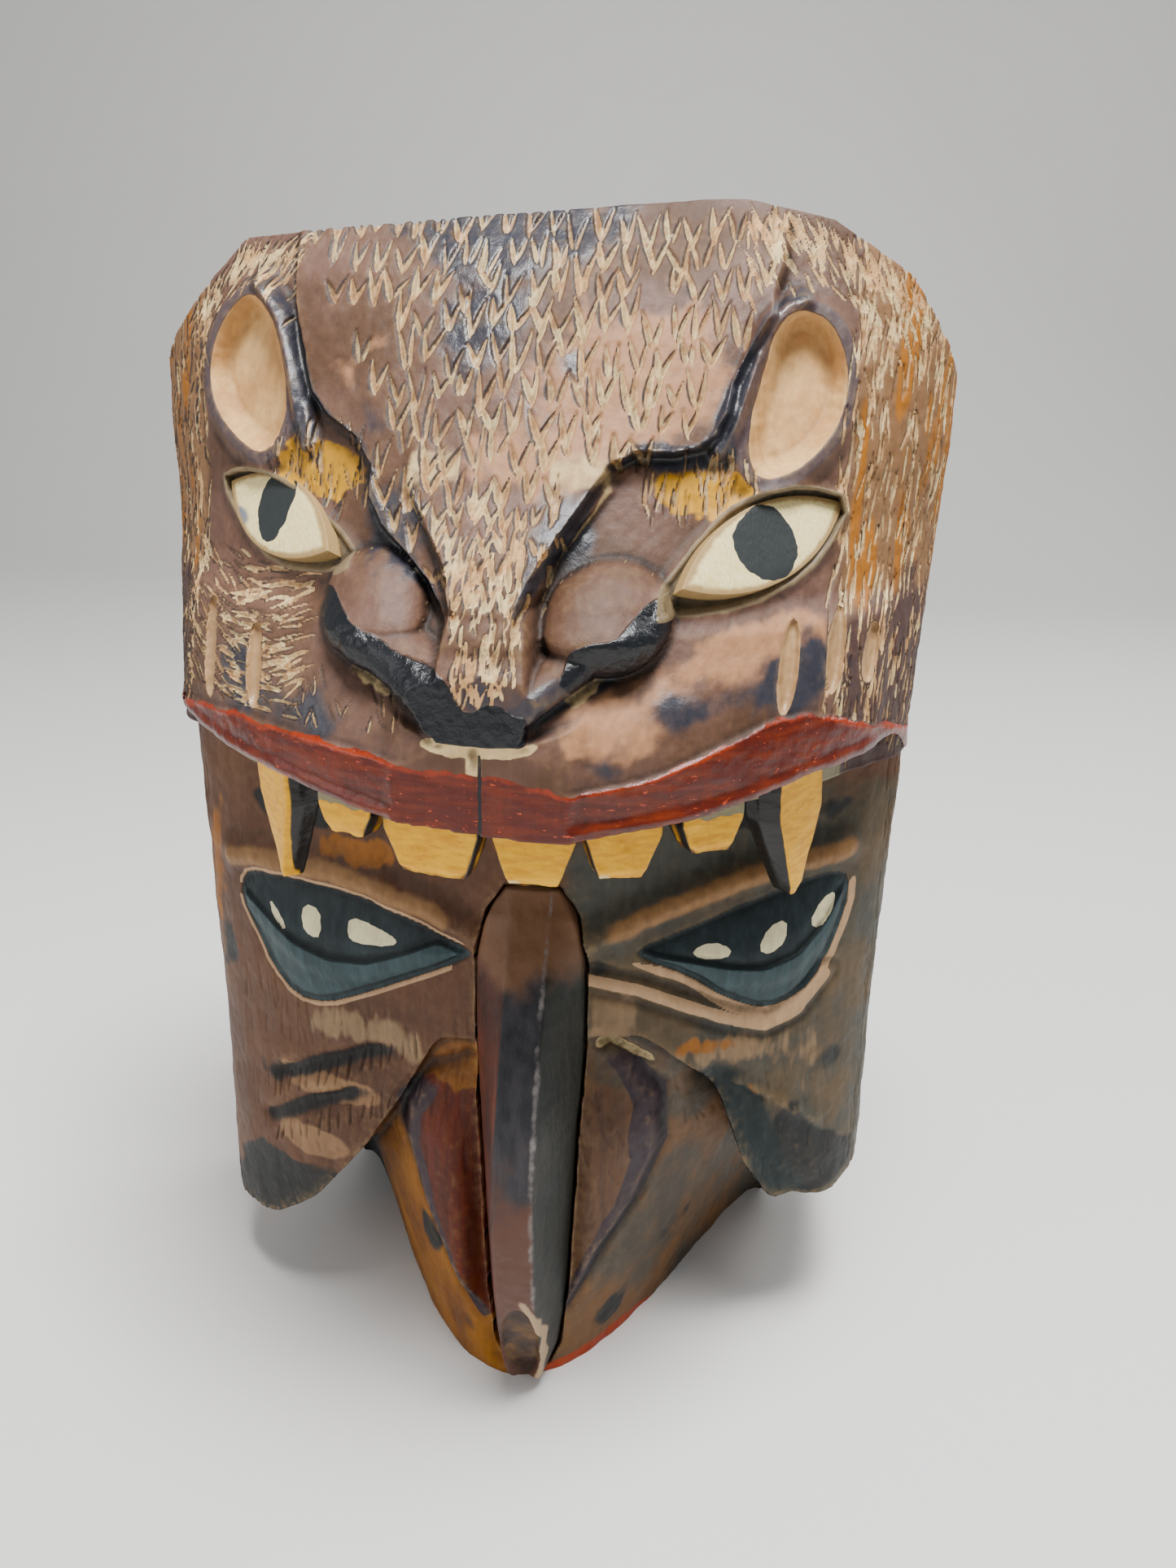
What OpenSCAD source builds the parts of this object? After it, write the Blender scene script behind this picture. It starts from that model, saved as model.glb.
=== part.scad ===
// Carved wooden mask: an animal head with a toothed upper lip, over a beaked human-like face.
// X runs to the viewer's right, Y to the rear rim and Z up. The base rests on Z = 0.

/* [Overall] */
// Width over the side walls
mask_w = 186; // [150:1:225]
// Depth from the rear rim to the tip of the animal's nose
mask_d = 128; // [105:1:155]
// Height from the base to the crown
mask_h = 291; // [240:1:350]

/* [Hollow] */
// Thickness of the side walls at the rear rim
wall = 17; // [12:1:24]
// Thickness of wood left above the hollow at the crown
crown_wall = 22; // [16:1:32]
// Height of the chin floor under the hollow
chin_floor = 20; // [12:1:32]
// Wood left between the hollow and the face at its thinnest
face_wall = 17; // [12:1:24]

/* [Glue joint between the blocks] */
// Diameter of each dowel
dowel_d = 8; // [5:0.5:10]
// Length of each dowel
dowel_l = 40; // [24:1:56]
// Clearance all round a pin in its bore
pin_fit = 0.15; // [0.1:0.05:0.3]

/* [Teeth] */
// Thickness of a tooth from front to back
tooth_t = 7.5; // [5:0.5:9]
// Distance from the front of the lip to the middle of a tooth
tooth_set = 7.5; // [6:0.5:10]
// Diameter of the root tenon on a tooth
tenon_d = 5; // [3:0.5:6]
// Length of the root tenon on a tooth
tenon_l = 10; // [6:1:16]
// Length of the middle tooth below the lip
incisor_l = 13; // [9:0.5:18]
// Length of a canine below the lip
canine_l = 24; // [18:0.5:32]
// Gap between two neighbouring teeth
tooth_gap = 0.8; // [0.4:0.1:1.5]

/* [Inlaid eyes] */
// Length of the left eye plate
eye_left_l = 43; // [36:1:50]
// Length of the right eye plate
eye_right_l = 49; // [40:1:54]
// Height of an eye plate as cut
eye_h = 16; // [12:0.5:20]
// Thickness of an eye plate
eye_t = 4; // [3:0.5:6]
// Clearance all round an eye plate in its socket
eye_fit = 0.25; // [0.15:0.05:0.5]

/* [Beak] */
// Half width of the beak where it meets the face
beak_half_w = 13; // [10:0.5:16]
// How far the beak's ridge stands in front of its seat
beak_out = 34; // [26:1:42]
// Clearance all round the beak in its seat
beak_fit = 0.2; // [0.1:0.05:0.4]

/* [Strap and hanging holes] */
// Diameter of the strap and hanging holes
strap_d = 6; // [4:0.5:8]
// Distance of the holes from the rear rim
strap_inset = 14; // [10:1:22]
// Height of the strap holes
strap_z = 132; // [110:1:140]

/* [Hidden] */

// The carved surfaces are drawn at this size, then stretched to the chosen overall size.
carved_w = 186;
carved_d = 128;
carved_h = 291;
kx = mask_w / carved_w;
ky = mask_d / carved_d;
kz = mask_h / carved_h;
half_w = carved_w / 2;
rim = carved_d / 2;
over = 5;              // how far blanks run past the planes that trim them
joint = 172;           // height of the glue joint, as carved
joint_z = joint * kz;
rim_y = rim * ky;
big = 400;

function stretch(p) = [p.x * kx, p.y * ky, p.z * kz];
function step(a, b, v) = let(t = min(1, max(0, (v - a) / (b - a)))) t * t * (3 - 2 * t);
function hump(x, z, x0, z0, sx, sz) = exp(-pow((x - x0) / sx, 2) - pow((z - z0) / sz, 2));
function bow(u, side, front, power) = side - (side - front) * pow(sqrt(max(0, 1 - u * u)), power);

// Animal head: rows are [height, y at the centre, y at the sides, roundness].
head_rows = [[165, -60, 14, 1.5], [186, -61, 14, 1.5], [196, -57, 14, 1.5], [206, -50, 15, 1.5],
             [216, -44, 18, 1.6], [228, -36, 20, 1.6], [240, -29, 21, 1.4], [252, -21, 22, 1.3],
             [264, -13, 23, 1.2], [276, -4, 24, 1.1], [292, 8, 24, 1.0]];
// Human-like face plate, and the beak-shaped muzzle under the cheeks.
plate_rows = [[-5, -22, 22, 0.9], [60, -22, 22, 0.9], [90, -22, 22, 1.1], [125, -21, 20, 1.2],
              [150, -12, 18, 1.15], [178, -6, 16, 1.2]];
muzzle_rows = [[-5, -26, 60, 3], [30, -30, 60, 3], [60, -28, 55, 3], [95, -22, 30, 2]];
muzzle_half = [[-5, 66], [0, 66], [30, 75], [60, 85], [95, 92]];
shell_half = [[-5, 66], [0, 67], [12, 78], [25, 88], [45, half_w], [300, half_w]];
cheek_edge = [[-93, 24], [-72, 29], [-57, 41], [-43, 60], [-30, 80], [-20, 100],
              [30, 104], [43, 94], [50, 84], [58, 62], [66, 50], [84, 48], [93, 52]];
crown_line = [[-93, 255], [-66, 282], [0, 287.5], [42, 291], [62, 287], [80, 276], [90, 262],
              [93, 255]];
wing_edge_left = [[20, -13], [25, -16], [56, -26], [80, -30], [90, -24], [94, -12]];
wing_edge_right = [[20, 10], [24, 13], [40, 26], [61, 35], [85, 36], [96, 30], [104, 18]];

function row_y(rows, i, z) = lookup(z, [for (r = rows) [r[0], r[i]]]);
function bowed(rows, half, x, z) =
    bow(min(1, abs(x) / half), row_y(rows, 2, z), row_y(rows, 1, z), row_y(rows, 3, z));

// Relief on the animal head, positive towards the front
function head_relief(x, z) =
    4.75 * hump(x, z, 1, 196, 9, 9) + 6 * hump(x, z, 1, 210, 10, 16)
    + 6 * hump(x, z, -23, 214, 10, 8) + 6 * hump(x, z, 20, 212, 10, 8)
    + 4 * step(46, 40, abs(x + 2)) * step(236, 243, z) * step(282, 270, z)
    - 4 * hump(x, z, -63, 254, 8, 14) - 4 * hump(x, z, 56, 252, 8, 14);
function head_y(x, z) = bowed(head_rows, half_w, x, z) - head_relief(x, z);

// Relief on the face: brow ridges, and the nostril wings beside the beak
function face_relief(x, z) =
    3 * step(14, 22, abs(x - 3)) * step(86, 70, abs(x)) * exp(-pow((z - 138) / 6, 2))
    + 4 * step(lookup(z, wing_edge_left) - 2, lookup(z, wing_edge_left) + 2, x)
        * step(lookup(z, wing_edge_right) + 2, lookup(z, wing_edge_right) - 2, x)
        * step(14, 24, z) * step(104, 92, z);
function soft_min(a, b, r) = min(a, b) - pow(max(0, r - abs(a - b)), 2) / (4 * r);
function face_y(x, z) = let(
    plate = bowed(plate_rows, half_w, x, z) + max(0, lookup(x, cheek_edge) - z) * 1.8,
    muzzle = bowed(muzzle_rows, lookup(z, muzzle_half), x, z))
    soft_min(plate, muzzle, 8) - face_relief(x, z);

// A carved sheet is a grid of points. Its first and last rows and columns lie behind the rim,
// and a fan of triangles from a hub point there closes it.
columns = 44;
function column_u(i) = sin(-90 + 180 * i / columns);
module carved_blank(sheet, hub) {
    nj = len(sheet);
    ni = len(sheet[0]);
    points = [for (row = sheet) for (p = row) stretch(p), stretch(hub)];
    last = len(points) - 1;
    skin = [for (j = [0:nj - 2], i = [0:ni - 2])
        let(a = j * ni + i) each [[a, a + ni, a + ni + 1], [a, a + ni + 1, a + 1]]];
    ends = [for (i = [0:ni - 2]) each
        [[i, i + 1, last], [(nj - 1) * ni + i + 1, (nj - 1) * ni + i, last]]];
    sides = [for (j = [0:nj - 2]) each
        [[(j + 1) * ni, j * ni, last], [j * ni + ni - 1, (j + 1) * ni + ni - 1, last]]];
    polyhedron(points, concat(skin, ends, sides));
}
// One row of a sheet: the outline at one level, with the side walls run back past the rim
function sheet_row(half, xs, ys, zs) = concat(
    [[-half, rim + over, zs[0]]],
    [for (i = [0:columns]) [xs[i], ys[i], zs[i]]],
    [[half, rim + over, zs[columns]]]);
function cap_row(half, xs, zs) =
    sheet_row(half, xs * 0.99, [for (x = xs) rim + over], zs);

head_levels = 28;
head_blank = let(
    xs = [for (i = [0:columns]) half_w * column_u(i)],
    zs = [for (j = [0:head_levels]) [for (x = xs)
        (joint - over) + (lookup(x, crown_line) - joint + over) * j / head_levels]])
    concat([cap_row(half_w, xs, zs[0])],
        [for (z = zs) sheet_row(half_w, xs, [for (i = [0:columns]) head_y(xs[i], z[i])], z)],
        [cap_row(half_w, xs, zs[head_levels])]);
face_levels = 40;
function face_xs(z) = [for (i = [0:columns]) lookup(z, shell_half) * column_u(i)];
face_zs = [for (j = [0:face_levels]) -over + (joint + 2 * over) * j / face_levels];
face_blank = let(level = function(z) [for (i = [0:columns]) z])
    concat([cap_row(lookup(-over, shell_half), face_xs(-over), level(-over))],
        [for (z = face_zs) let(xs = face_xs(z))
            sheet_row(lookup(z, shell_half), xs, [for (x = xs) face_y(x, z)], level(z))],
        [cap_row(half_w, face_xs(joint + over), level(joint + over))]);

// Wearer's hollow: a rounded bowl that opens through the rear rim
hollow_half_w = mask_w / 2 - wall;
hollow_low = chin_floor;
hollow_high = mask_h - crown_wall;
hollow_front = face_y(-45, 125) * ky + face_wall;
hollow_squareness = 2.5;
module hollow() {
    rings = 14;
    sides = 36;
    rz = (hollow_high - hollow_low) / 2;
    bend = 2 / hollow_squareness;
    function soft(v) = sign(v) * pow(abs(v), bend);
    points = concat([[0, hollow_front, 0]],
        [for (r = [1:rings], s = [0:sides - 1]) let(a = 90 * r / rings, b = 360 * s / sides)
            [hollow_half_w * soft(sin(a)) * soft(cos(b)),
             rim_y - (rim_y - hollow_front) * soft(cos(a)),
             rz * soft(sin(a)) * soft(sin(b))]],
        [for (s = [0:sides - 1]) let(b = 360 * s / sides)
            [hollow_half_w * soft(cos(b)), rim_y + over, rz * soft(sin(b))]],
        [[0, rim_y + over, 0]]);
    last = len(points) - 1;
    front = [for (s = [0:sides - 1]) [0, 1 + (s + 1) % sides, 1 + s]];
    side = [for (r = [0:rings - 1], s = [0:sides - 1])
        let(a = 1 + r * sides + s, b = 1 + r * sides + (s + 1) % sides)
        each [[a, b + sides, a + sides], [a, b, b + sides]]];
    back = [for (s = [0:sides - 1])
        [last, last - sides + s, last - sides + (s + 1) % sides]];
    translate([0, 0, (hollow_high + hollow_low) / 2]) polyhedron(points, concat(front, side, back));
}
module behind_rim() {
    translate([-big / 2, rim_y, -big / 4]) cube([big, big, big * 1.5]);
}
// Half space above or below a level
module above(z) {
    translate([-big / 2, -big / 2, z]) cube([big, big, big]);
}
module below(z) {
    translate([-big / 2, -big / 2, z - big]) cube([big, big, big]);
}

// Dowels across the glue joint, in the middle of the wall: [side, y]
dowel_x = mask_w / 2 - wall / 2 - 1;
dowel_ys = [28 * ky, rim_y - strap_inset + 1];
module dowel(side, y) {
    color("burlywood") translate([side * dowel_x, y, joint_z - dowel_l / 2])
        cylinder(d = dowel_d, h = dowel_l, $fn = 48);
}
module dowel_bores() {
    for (side = [-1, 1], y = dowel_ys)
        translate([side * dowel_x, y, joint_z - dowel_l / 2])
            cylinder(d = dowel_d + 2 * pin_fit, h = dowel_l + 1, $fn = 48);
}

// Strap holes through both side walls, and a hanging hole down through the crown wall
strap_y = rim_y - strap_inset;
module strap_holes() {
    for (side = [-1, 1])
        translate([side * (mask_w / 2 - wall - 8), strap_y, strap_z]) rotate([0, 90 * side, 0])
            cylinder(d = strap_d, h = wall + 10, $fn = 48);
}
module hanging_hole() {
    translate([0, strap_y, hollow_high - 8]) cylinder(d = strap_d, h = crown_wall + 10, $fn = 48);
}

// Teeth: [x of the middle, width at the lip, width at the tip, length, lean of the tip]
incisors = [[-32.5, 15, 9, 0.54, 0], [-12.2, 21.5, 14, 0.95, 0.5], [10, 18, 10.5, 1, 0],
            [28.5, 17, 9.5, 0.92, -0.5], [46.5, 15.5, 9.5, 0.66, 0]];
canine_left_x = -54.5;
canine_right_x = 65;
canine_w = 16;
function lip_y(x) = bowed(head_rows, half_w, x, joint) * ky;
function lip_angle(x) = atan2(lip_y(x + 1) - lip_y(x - 1), 2 * kx);
module at_lip(x) {
    a = lip_angle(x);
    translate([x * kx, lip_y(x), joint_z]) rotate([0, 0, a]) translate([0, tooth_set, 0]) children();
}
module tooth(x, top, tip, length, lean) {
    w = top * kx - tooth_gap;
    color("goldenrod") at_lip(x) {
        translate([0, tooth_t / 2, 0]) rotate([90, 0, 0]) linear_extrude(tooth_t)
            polygon([[-w / 2, 0], [lean - tip / 2, -length], [lean + tip / 2, -length], [w / 2, 0]]);
        cylinder(d = tenon_d, h = tenon_l, $fn = 32);
    }
}
module incisor(n) {
    t = incisors[n];
    tooth(t[0], t[1], t[2], incisor_l * t[3], t[4]);
}
module canine(x, lean) {
    tooth(x, canine_w, canine_w * 0.3, canine_l, lean);
}
module tenon_bores() {
    for (x = concat([for (t = incisors) t[0]], [canine_left_x, canine_right_x]))
        at_lip(x) translate([0, 0, -1])
            cylinder(d = tenon_d + 2 * pin_fit, h = tenon_l + 2, $fn = 32);
}

// Eye plates: almond plates let into slanted sockets
eye_left_at = [-49 * kx, -21.5 * ky, 224.5 * kz];
eye_right_at = [49.5 * kx, -23 * ky, 222.5 * kz];
eye_left_turn = [-28, -15, -35];
eye_right_turn = [-28, 18, 39];
module almond(l, h) {
    r = (l * l / 4 + h * h / 4) / h;
    intersection() {
        translate([0, h / 2 - r]) circle(r, $fn = 96);
        translate([0, r - h / 2]) circle(r, $fn = 96);
    }
}
// Stands the plate up facing front: turned by its slant, leaned back, and swung to its side
module face_front(at, turn) {
    translate(at) rotate([0, 0, turn[2]]) rotate([turn[0], 0, 0]) rotate([0, -turn[1], 0])
        rotate([90, 0, 0]) children();
}
module eye_plate(at, turn, l) {
    color("cornsilk") face_front(at, turn) linear_extrude(eye_t) almond(l, eye_h);
}
module eye_socket(at, turn, l) {
    face_front(at, turn) linear_extrude(big / 8) almond(l + 2 * eye_fit, eye_h + 2 * eye_fit);
}

// Beak: rows are [height, ridge out as a share, half width as a share]
beak_x = 3.5 * kx;
beak_seat = -16 * ky;
beak_shoulder = -24 * ky;
beak_ridge_w = 4.6;
beak_rows = [[4, 0.42, 0.42], [10, 0.52, 0.62], [28, 0.74, 0.76], [46, 0.9, 0.82], [66, 1, 0.88],
             [90, 0.94, 0.96], [108, 0.76, 1], [126, 0.5, 0.98], [136, 0.26, 0.8], [142, 0.14, 0.5]];
function beak_ring(r, grow) = let(
    z = r[0] * kz,
    b = beak_half_w * r[2] + grow,
    f = min(b * 0.7, beak_ridge_w),
    y = beak_seat - beak_out * r[1],
    s = max(beak_shoulder, y + 1))
    [[-b, beak_seat, z], [-b, s, z], [-f, y, z], [0, y - 1, z], [f, y, z], [b, s, z],
     [b, beak_seat, z]];
module nose_beak() {
    rings = [for (r = beak_rows) beak_ring(r, 0)];
    n = len(rings[0]);
    top = (len(rings) - 1) * n;
    points = [for (ring = rings) each ring];
    walls = [for (j = [0:len(rings) - 2], i = [0:n - 1])
        let(a = j * n + i, b = j * n + (i + 1) % n)
        each [[a, a + n, b + n], [a, b + n, b]]];
    ends = [[for (i = [0:n - 1]) i], [for (i = [n - 1:-1:0]) top + i]];
    color("saddlebrown") translate([beak_x, 0, 0]) polyhedron(points, concat(walls, ends));
}
module beak_seat_cut() {
    left = [for (r = beak_rows) [-beak_half_w * r[2] - beak_fit, r[0] * kz]];
    right = [for (p = left) [-p.x, p.y]];
    low = [0, left[0].y - beak_fit];
    high = [0, left[len(left) - 1].y + beak_fit];
    translate([beak_x, beak_seat, 0]) rotate([90, 0, 0]) linear_extrude(big / 4)
        polygon(concat([[left[0].x, low.y]], left, [[left[len(left) - 1].x, high.y]],
            [[right[len(right) - 1].x, high.y]], [for (i = [len(right) - 1:-1:0]) right[i]],
            [[right[0].x, low.y]]));
}

module face_block() {
    color("sienna") difference() {
        carved_blank(face_blank, [0, rim + over, joint / 2]);
        hollow();
        behind_rim();
        below(0);
        above(joint_z);
        beak_seat_cut();
        dowel_bores();
        strap_holes();
    }
}
module animal_head() {
    color("rosybrown") difference() {
        carved_blank(head_blank, [0, rim + over, (joint + carved_h) / 2]);
        hollow();
        behind_rim();
        below(joint_z);
        dowel_bores();
        tenon_bores();
        hanging_hole();
        eye_socket(eye_left_at, eye_left_turn, eye_left_l);
        eye_socket(eye_right_at, eye_right_turn, eye_right_l);
    }
}

face_block();
animal_head();
nose_beak();
eye_plate(eye_left_at, eye_left_turn, eye_left_l);  // eye_left
eye_plate(eye_right_at, eye_right_turn, eye_right_l);  // eye_right
canine(canine_left_x, 1);  // canine_left
incisor(0);  // incisor_1
incisor(1);  // incisor_2
incisor(2);  // incisor_3
incisor(3);  // incisor_4
incisor(4);  // incisor_5
canine(canine_right_x, 3);  // canine_right
dowel(-1, dowel_ys[0]);  // dowel_front_left
dowel(1, dowel_ys[0]);  // dowel_front_right
dowel(-1, dowel_ys[1]);  // dowel_rear_left
dowel(1, dowel_ys[1]);  // dowel_rear_right
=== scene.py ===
import math
import bpy
import numpy as np
from mathutils import Matrix, Vector


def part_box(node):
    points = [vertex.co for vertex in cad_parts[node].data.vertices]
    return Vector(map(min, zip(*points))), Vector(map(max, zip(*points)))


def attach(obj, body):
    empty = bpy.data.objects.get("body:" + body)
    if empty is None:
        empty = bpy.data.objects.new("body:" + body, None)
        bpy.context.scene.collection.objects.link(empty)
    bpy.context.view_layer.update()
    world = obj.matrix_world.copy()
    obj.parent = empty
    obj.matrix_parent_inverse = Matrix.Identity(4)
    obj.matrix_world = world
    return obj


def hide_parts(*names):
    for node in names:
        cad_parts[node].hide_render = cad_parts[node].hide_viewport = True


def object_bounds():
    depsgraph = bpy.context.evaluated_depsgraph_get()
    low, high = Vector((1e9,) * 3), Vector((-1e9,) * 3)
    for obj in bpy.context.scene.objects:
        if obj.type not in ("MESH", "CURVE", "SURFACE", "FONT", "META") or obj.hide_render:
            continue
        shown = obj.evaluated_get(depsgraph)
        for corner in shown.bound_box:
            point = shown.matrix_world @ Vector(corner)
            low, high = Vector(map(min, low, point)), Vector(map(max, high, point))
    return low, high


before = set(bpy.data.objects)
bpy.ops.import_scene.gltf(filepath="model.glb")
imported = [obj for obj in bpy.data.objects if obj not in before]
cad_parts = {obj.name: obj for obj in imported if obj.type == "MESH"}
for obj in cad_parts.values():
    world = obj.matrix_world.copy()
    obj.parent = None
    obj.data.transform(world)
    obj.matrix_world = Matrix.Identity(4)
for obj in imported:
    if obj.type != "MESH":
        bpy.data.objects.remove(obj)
CAD_LOW, CAD_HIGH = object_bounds()

# ---------------------------------------------------------------- camera
# The camera stands close above the mask and looks down at it. Places are in metres.
CAMERA_AT = Vector((0.044, -0.267, 0.259))
CAMERA_SWING = math.radians(6.5)
CAMERA_DOWN = math.radians(20.0)
CAMERA_ROLL = math.radians(1.3)
SENSOR_WIDTH, LENS_LENGTH = 36.0, 27.03      # millimetres


def make_camera():
    data = bpy.data.cameras.new("camera")
    data.sensor_width = SENSOR_WIDTH
    data.lens = LENS_LENGTH
    data.clip_start = 0.01
    camera = bpy.data.objects.new("camera", data)
    bpy.context.scene.collection.objects.link(camera)
    camera.matrix_world = (Matrix.Translation(CAMERA_AT)
                           @ Matrix.Rotation(CAMERA_SWING, 4, "Z")
                           @ Matrix.Rotation(math.radians(90) - CAMERA_DOWN, 4, "X")
                           @ Matrix.Rotation(CAMERA_ROLL, 4, "Z"))
    bpy.context.scene.camera = camera


make_camera()

# ---------------------------------------------------------------- sizes
# The carving is drawn in millimetres at this size and stretched to the frame's own size.
CARVED_W, CARVED_D = 186.0, 128.0
HALF_W = CARVED_W / 2
RIM = CARVED_D / 2
JOINT = 172.0
STRETCH = 1000 * np.array([CAD_HIGH.x / HALF_W,
                           CAD_HIGH.y / RIM,
                           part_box("face_block")[1].z / JOINT])
STRAP_Y = 50.0
DOWELS = [(side * 83.5, y) for side in (-1, 1) for y in (28.0, STRAP_Y + 1)]
DOWEL_BORE, CORD_HOLE, TENON_BORE = 4.15, 3.0, 2.65      # radii
INSET = 0.25          # how far rough surfaces stay inside the frame's box
CEILING = 1000 * CAD_HIGH.z / STRETCH[2] - INSET
COLUMNS = 600
HEAD_ROWS = 300
FACE_ROWS = 330
SIDE_COLUMNS = 96


# ---------------------------------------------------------------- numbers
NOISE_CELLS, SCOOP_CELLS = 128, 64      # the tables repeat after this many cells


def step(a, b, v):
    t = np.clip((v - a) / (b - a), 0, 1)
    return t * t * (3 - 2 * t)


def hump(x, z, x0, z0, sx, sz):
    return np.exp(-((x - x0) / sx) ** 2 - ((z - z0) / sz) ** 2)


def blots(x, z, rows):
    """Sum of humps, each a row of its weight, middle x and z, and reach in x and z."""
    return sum(weight * hump(x, z, *row) for weight, *row in rows)


def bow(u, side, front, power):
    return side - (side - front) * np.sqrt(np.clip(1 - u * u, 0, 1)) ** power


def along(points, v):
    """Height of a broken line of (place, height) points at v."""
    return np.interp(v, [p[0] for p in points], [p[1] for p in points])


def curve(points, v, soft=3.0):
    """The same line with its corners rounded over about soft on each side."""
    shifts = np.linspace(-soft, soft, 5)
    return sum(along(points, v + s) for s in shifts) / len(shifts)


def bowed(rows, half, x, z):
    u = np.minimum(1, np.abs(x) / half)
    front, side, power = [curve([(r[0], r[i]) for r in rows], z) for i in (1, 2, 3)]
    return bow(u, side, front, power)


def soft_min(a, b, r):
    return np.minimum(a, b) - np.maximum(0, r - np.abs(a - b)) ** 2 / (4 * r)


def lattice(u, v, seed):
    """Smooth noise from -1 to 1 with cells one unit across."""
    table = np.random.default_rng(seed).uniform(-1, 1, (NOISE_CELLS, NOISE_CELLS))
    iu, iv = np.floor(u).astype(int), np.floor(v).astype(int)
    fu, fv = u - iu, v - iv
    fu, fv = fu * fu * (3 - 2 * fu), fv * fv * (3 - 2 * fv)
    at = lambda a, b: table[a % NOISE_CELLS, b % NOISE_CELLS]
    low = at(iu, iv) * (1 - fu) + at(iu + 1, iv) * fu
    high = at(iu, iv + 1) * (1 - fu) + at(iu + 1, iv + 1) * fu
    return low * (1 - fv) + high * fv


def noise(u, v, size, seed, octaves=3):
    total, weight = 0.0, 0.0
    for k in range(octaves):
        share = 0.5 ** k
        total = total + share * lattice(u / size * 2 ** k + 7.3 * k, v / size * 2 ** k, seed + k)
        weight += share
    return total / weight


def scoops(u, v, width, height, seed):
    """Distance from the middle of the nearest scoop, 0 to about 1: shallow cuts of a gouge."""
    rng = np.random.default_rng(seed)
    jitter = rng.uniform(0.15, 0.85, (SCOOP_CELLS, SCOOP_CELLS, 2))
    a, b = u / width, v / height
    ia, ib = np.floor(a).astype(int), np.floor(b).astype(int)
    best = np.full(u.shape, 9.0)
    for da in (-1, 0, 1):
        for db in (-1, 0, 1):
            spot = jitter[(ia + da) % SCOOP_CELLS, (ib + db) % SCOOP_CELLS]
            d = (ia + da + spot[..., 0] - a) ** 2 + (ib + db + spot[..., 1] - b) ** 2
            best = np.minimum(best, d)
    return np.sqrt(best)


def inside(x, z, outline):
    """Distance in from a closed outline of (x, z) points: positive inside, negative outside."""
    best = np.full(x.shape, 1e9)
    odd = np.zeros(x.shape, bool)
    count = len(outline)
    for k in range(count):
        (ax, az), (bx, bz) = outline[k], outline[(k + 1) % count]
        dx, dz = bx - ax, bz - az
        t = np.clip(((x - ax) * dx + (z - az) * dz) / (dx * dx + dz * dz), 0, 1)
        best = np.minimum(best, np.hypot(x - ax - t * dx, z - az - t * dz))
        if dz:
            crosses = ((az > z) != (bz > z)) & (x < ax + (z - az) * dx / dz)
            odd ^= crosses
    return np.where(odd, best, -best)


def rounded(outline, passes=2):
    """The outline with its corners cut, passes times, into a smooth closed curve."""
    points = [np.array(p, float) for p in outline]
    for _ in range(passes):
        points = [q for a, b in zip(points, points[1:] + points[:1])
                  for q in (a * 0.75 + b * 0.25, a * 0.25 + b * 0.75)]
    return [tuple(p) for p in points]


def off_line(x, z, points):
    """Distance from an open broken line of (x, z) points, and the share of its length."""
    best = np.full(np.shape(x), 1e9)
    share = np.zeros(np.shape(x))
    lengths = [math.dist(a, b) for a, b in zip(points, points[1:])]
    done = 0.0
    for (ax, az), (bx, bz), length in zip(points, points[1:], lengths):
        t = np.clip(((x - ax) * (bx - ax) + (z - az) * (bz - az)) / length ** 2, 0, 1)
        d = np.hypot(x - ax - t * (bx - ax), z - az - t * (bz - az))
        near = d < best
        best = np.where(near, d, best)
        share = np.where(near, (done + t * length) / sum(lengths), share)
        done += length
    return best, share


def soften(a, reach):
    """Box average over reach cells each way along the first two axes."""
    for axis in (0, 1):
        pad = [(0, 0)] * a.ndim
        pad[axis] = (reach + 1, reach)
        total = np.cumsum(np.pad(a, pad, mode="edge"), axis)
        size = a.shape[axis]
        a = (np.take(total, np.arange(size) + 2 * reach + 1, axis)
             - np.take(total, np.arange(size), axis)) / (2 * reach + 1)
    return a


def dome(distance, radius, height):
    return height * np.sqrt(np.clip(1 - (distance / radius) ** 2, 0, 1))


# ---------------------------------------------------------------- shared base surfaces
# Rows are (height, y at the centre, y at the sides, roundness), as in the frame's own blocks.
HEAD_BASE = [(165, -60, 14, 1.5), (186, -61, 14, 1.5), (196, -57, 14, 1.5), (206, -50, 15, 1.5),
             (216, -44, 18, 1.6), (228, -36, 20, 1.6), (240, -29, 21, 1.4), (252, -21, 22, 1.3),
             (264, -13, 23, 1.2), (276, -4, 24, 1.1), (292, 8, 24, 1.0)]
PLATE_BASE = [(-5, -22, 22, 0.9), (60, -22, 22, 0.9), (90, -22, 22, 1.1), (125, -21, 20, 1.2),
              (150, -12, 18, 1.15), (178, -6, 16, 1.2)]
MUZZLE_BASE = [(-5, -26, 60, 3), (30, -30, 60, 3), (60, -28, 55, 3), (95, -22, 30, 2)]
MUZZLE_HALF = [(-5, 66), (0, 66), (30, 75), (60, 85), (95, 92)]
SHELL_HALF = [(-5, 66), (0, 67), (12, 78), (25, 88), (45, HALF_W), (300, HALF_W)]
CHEEK_EDGE = [(-93, 24), (-72, 29), (-57, 41), (-43, 60), (-30, 80), (-20, 100),
              (30, 104), (43, 94), (50, 84), (58, 62), (66, 50), (84, 48), (93, 52)]
CROWN_LINE = [(-93, 255), (-66, 282), (0, 287.5), (42, 291), (62, 287), (80, 276), (90, 262),
              (93, 255)]


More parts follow.
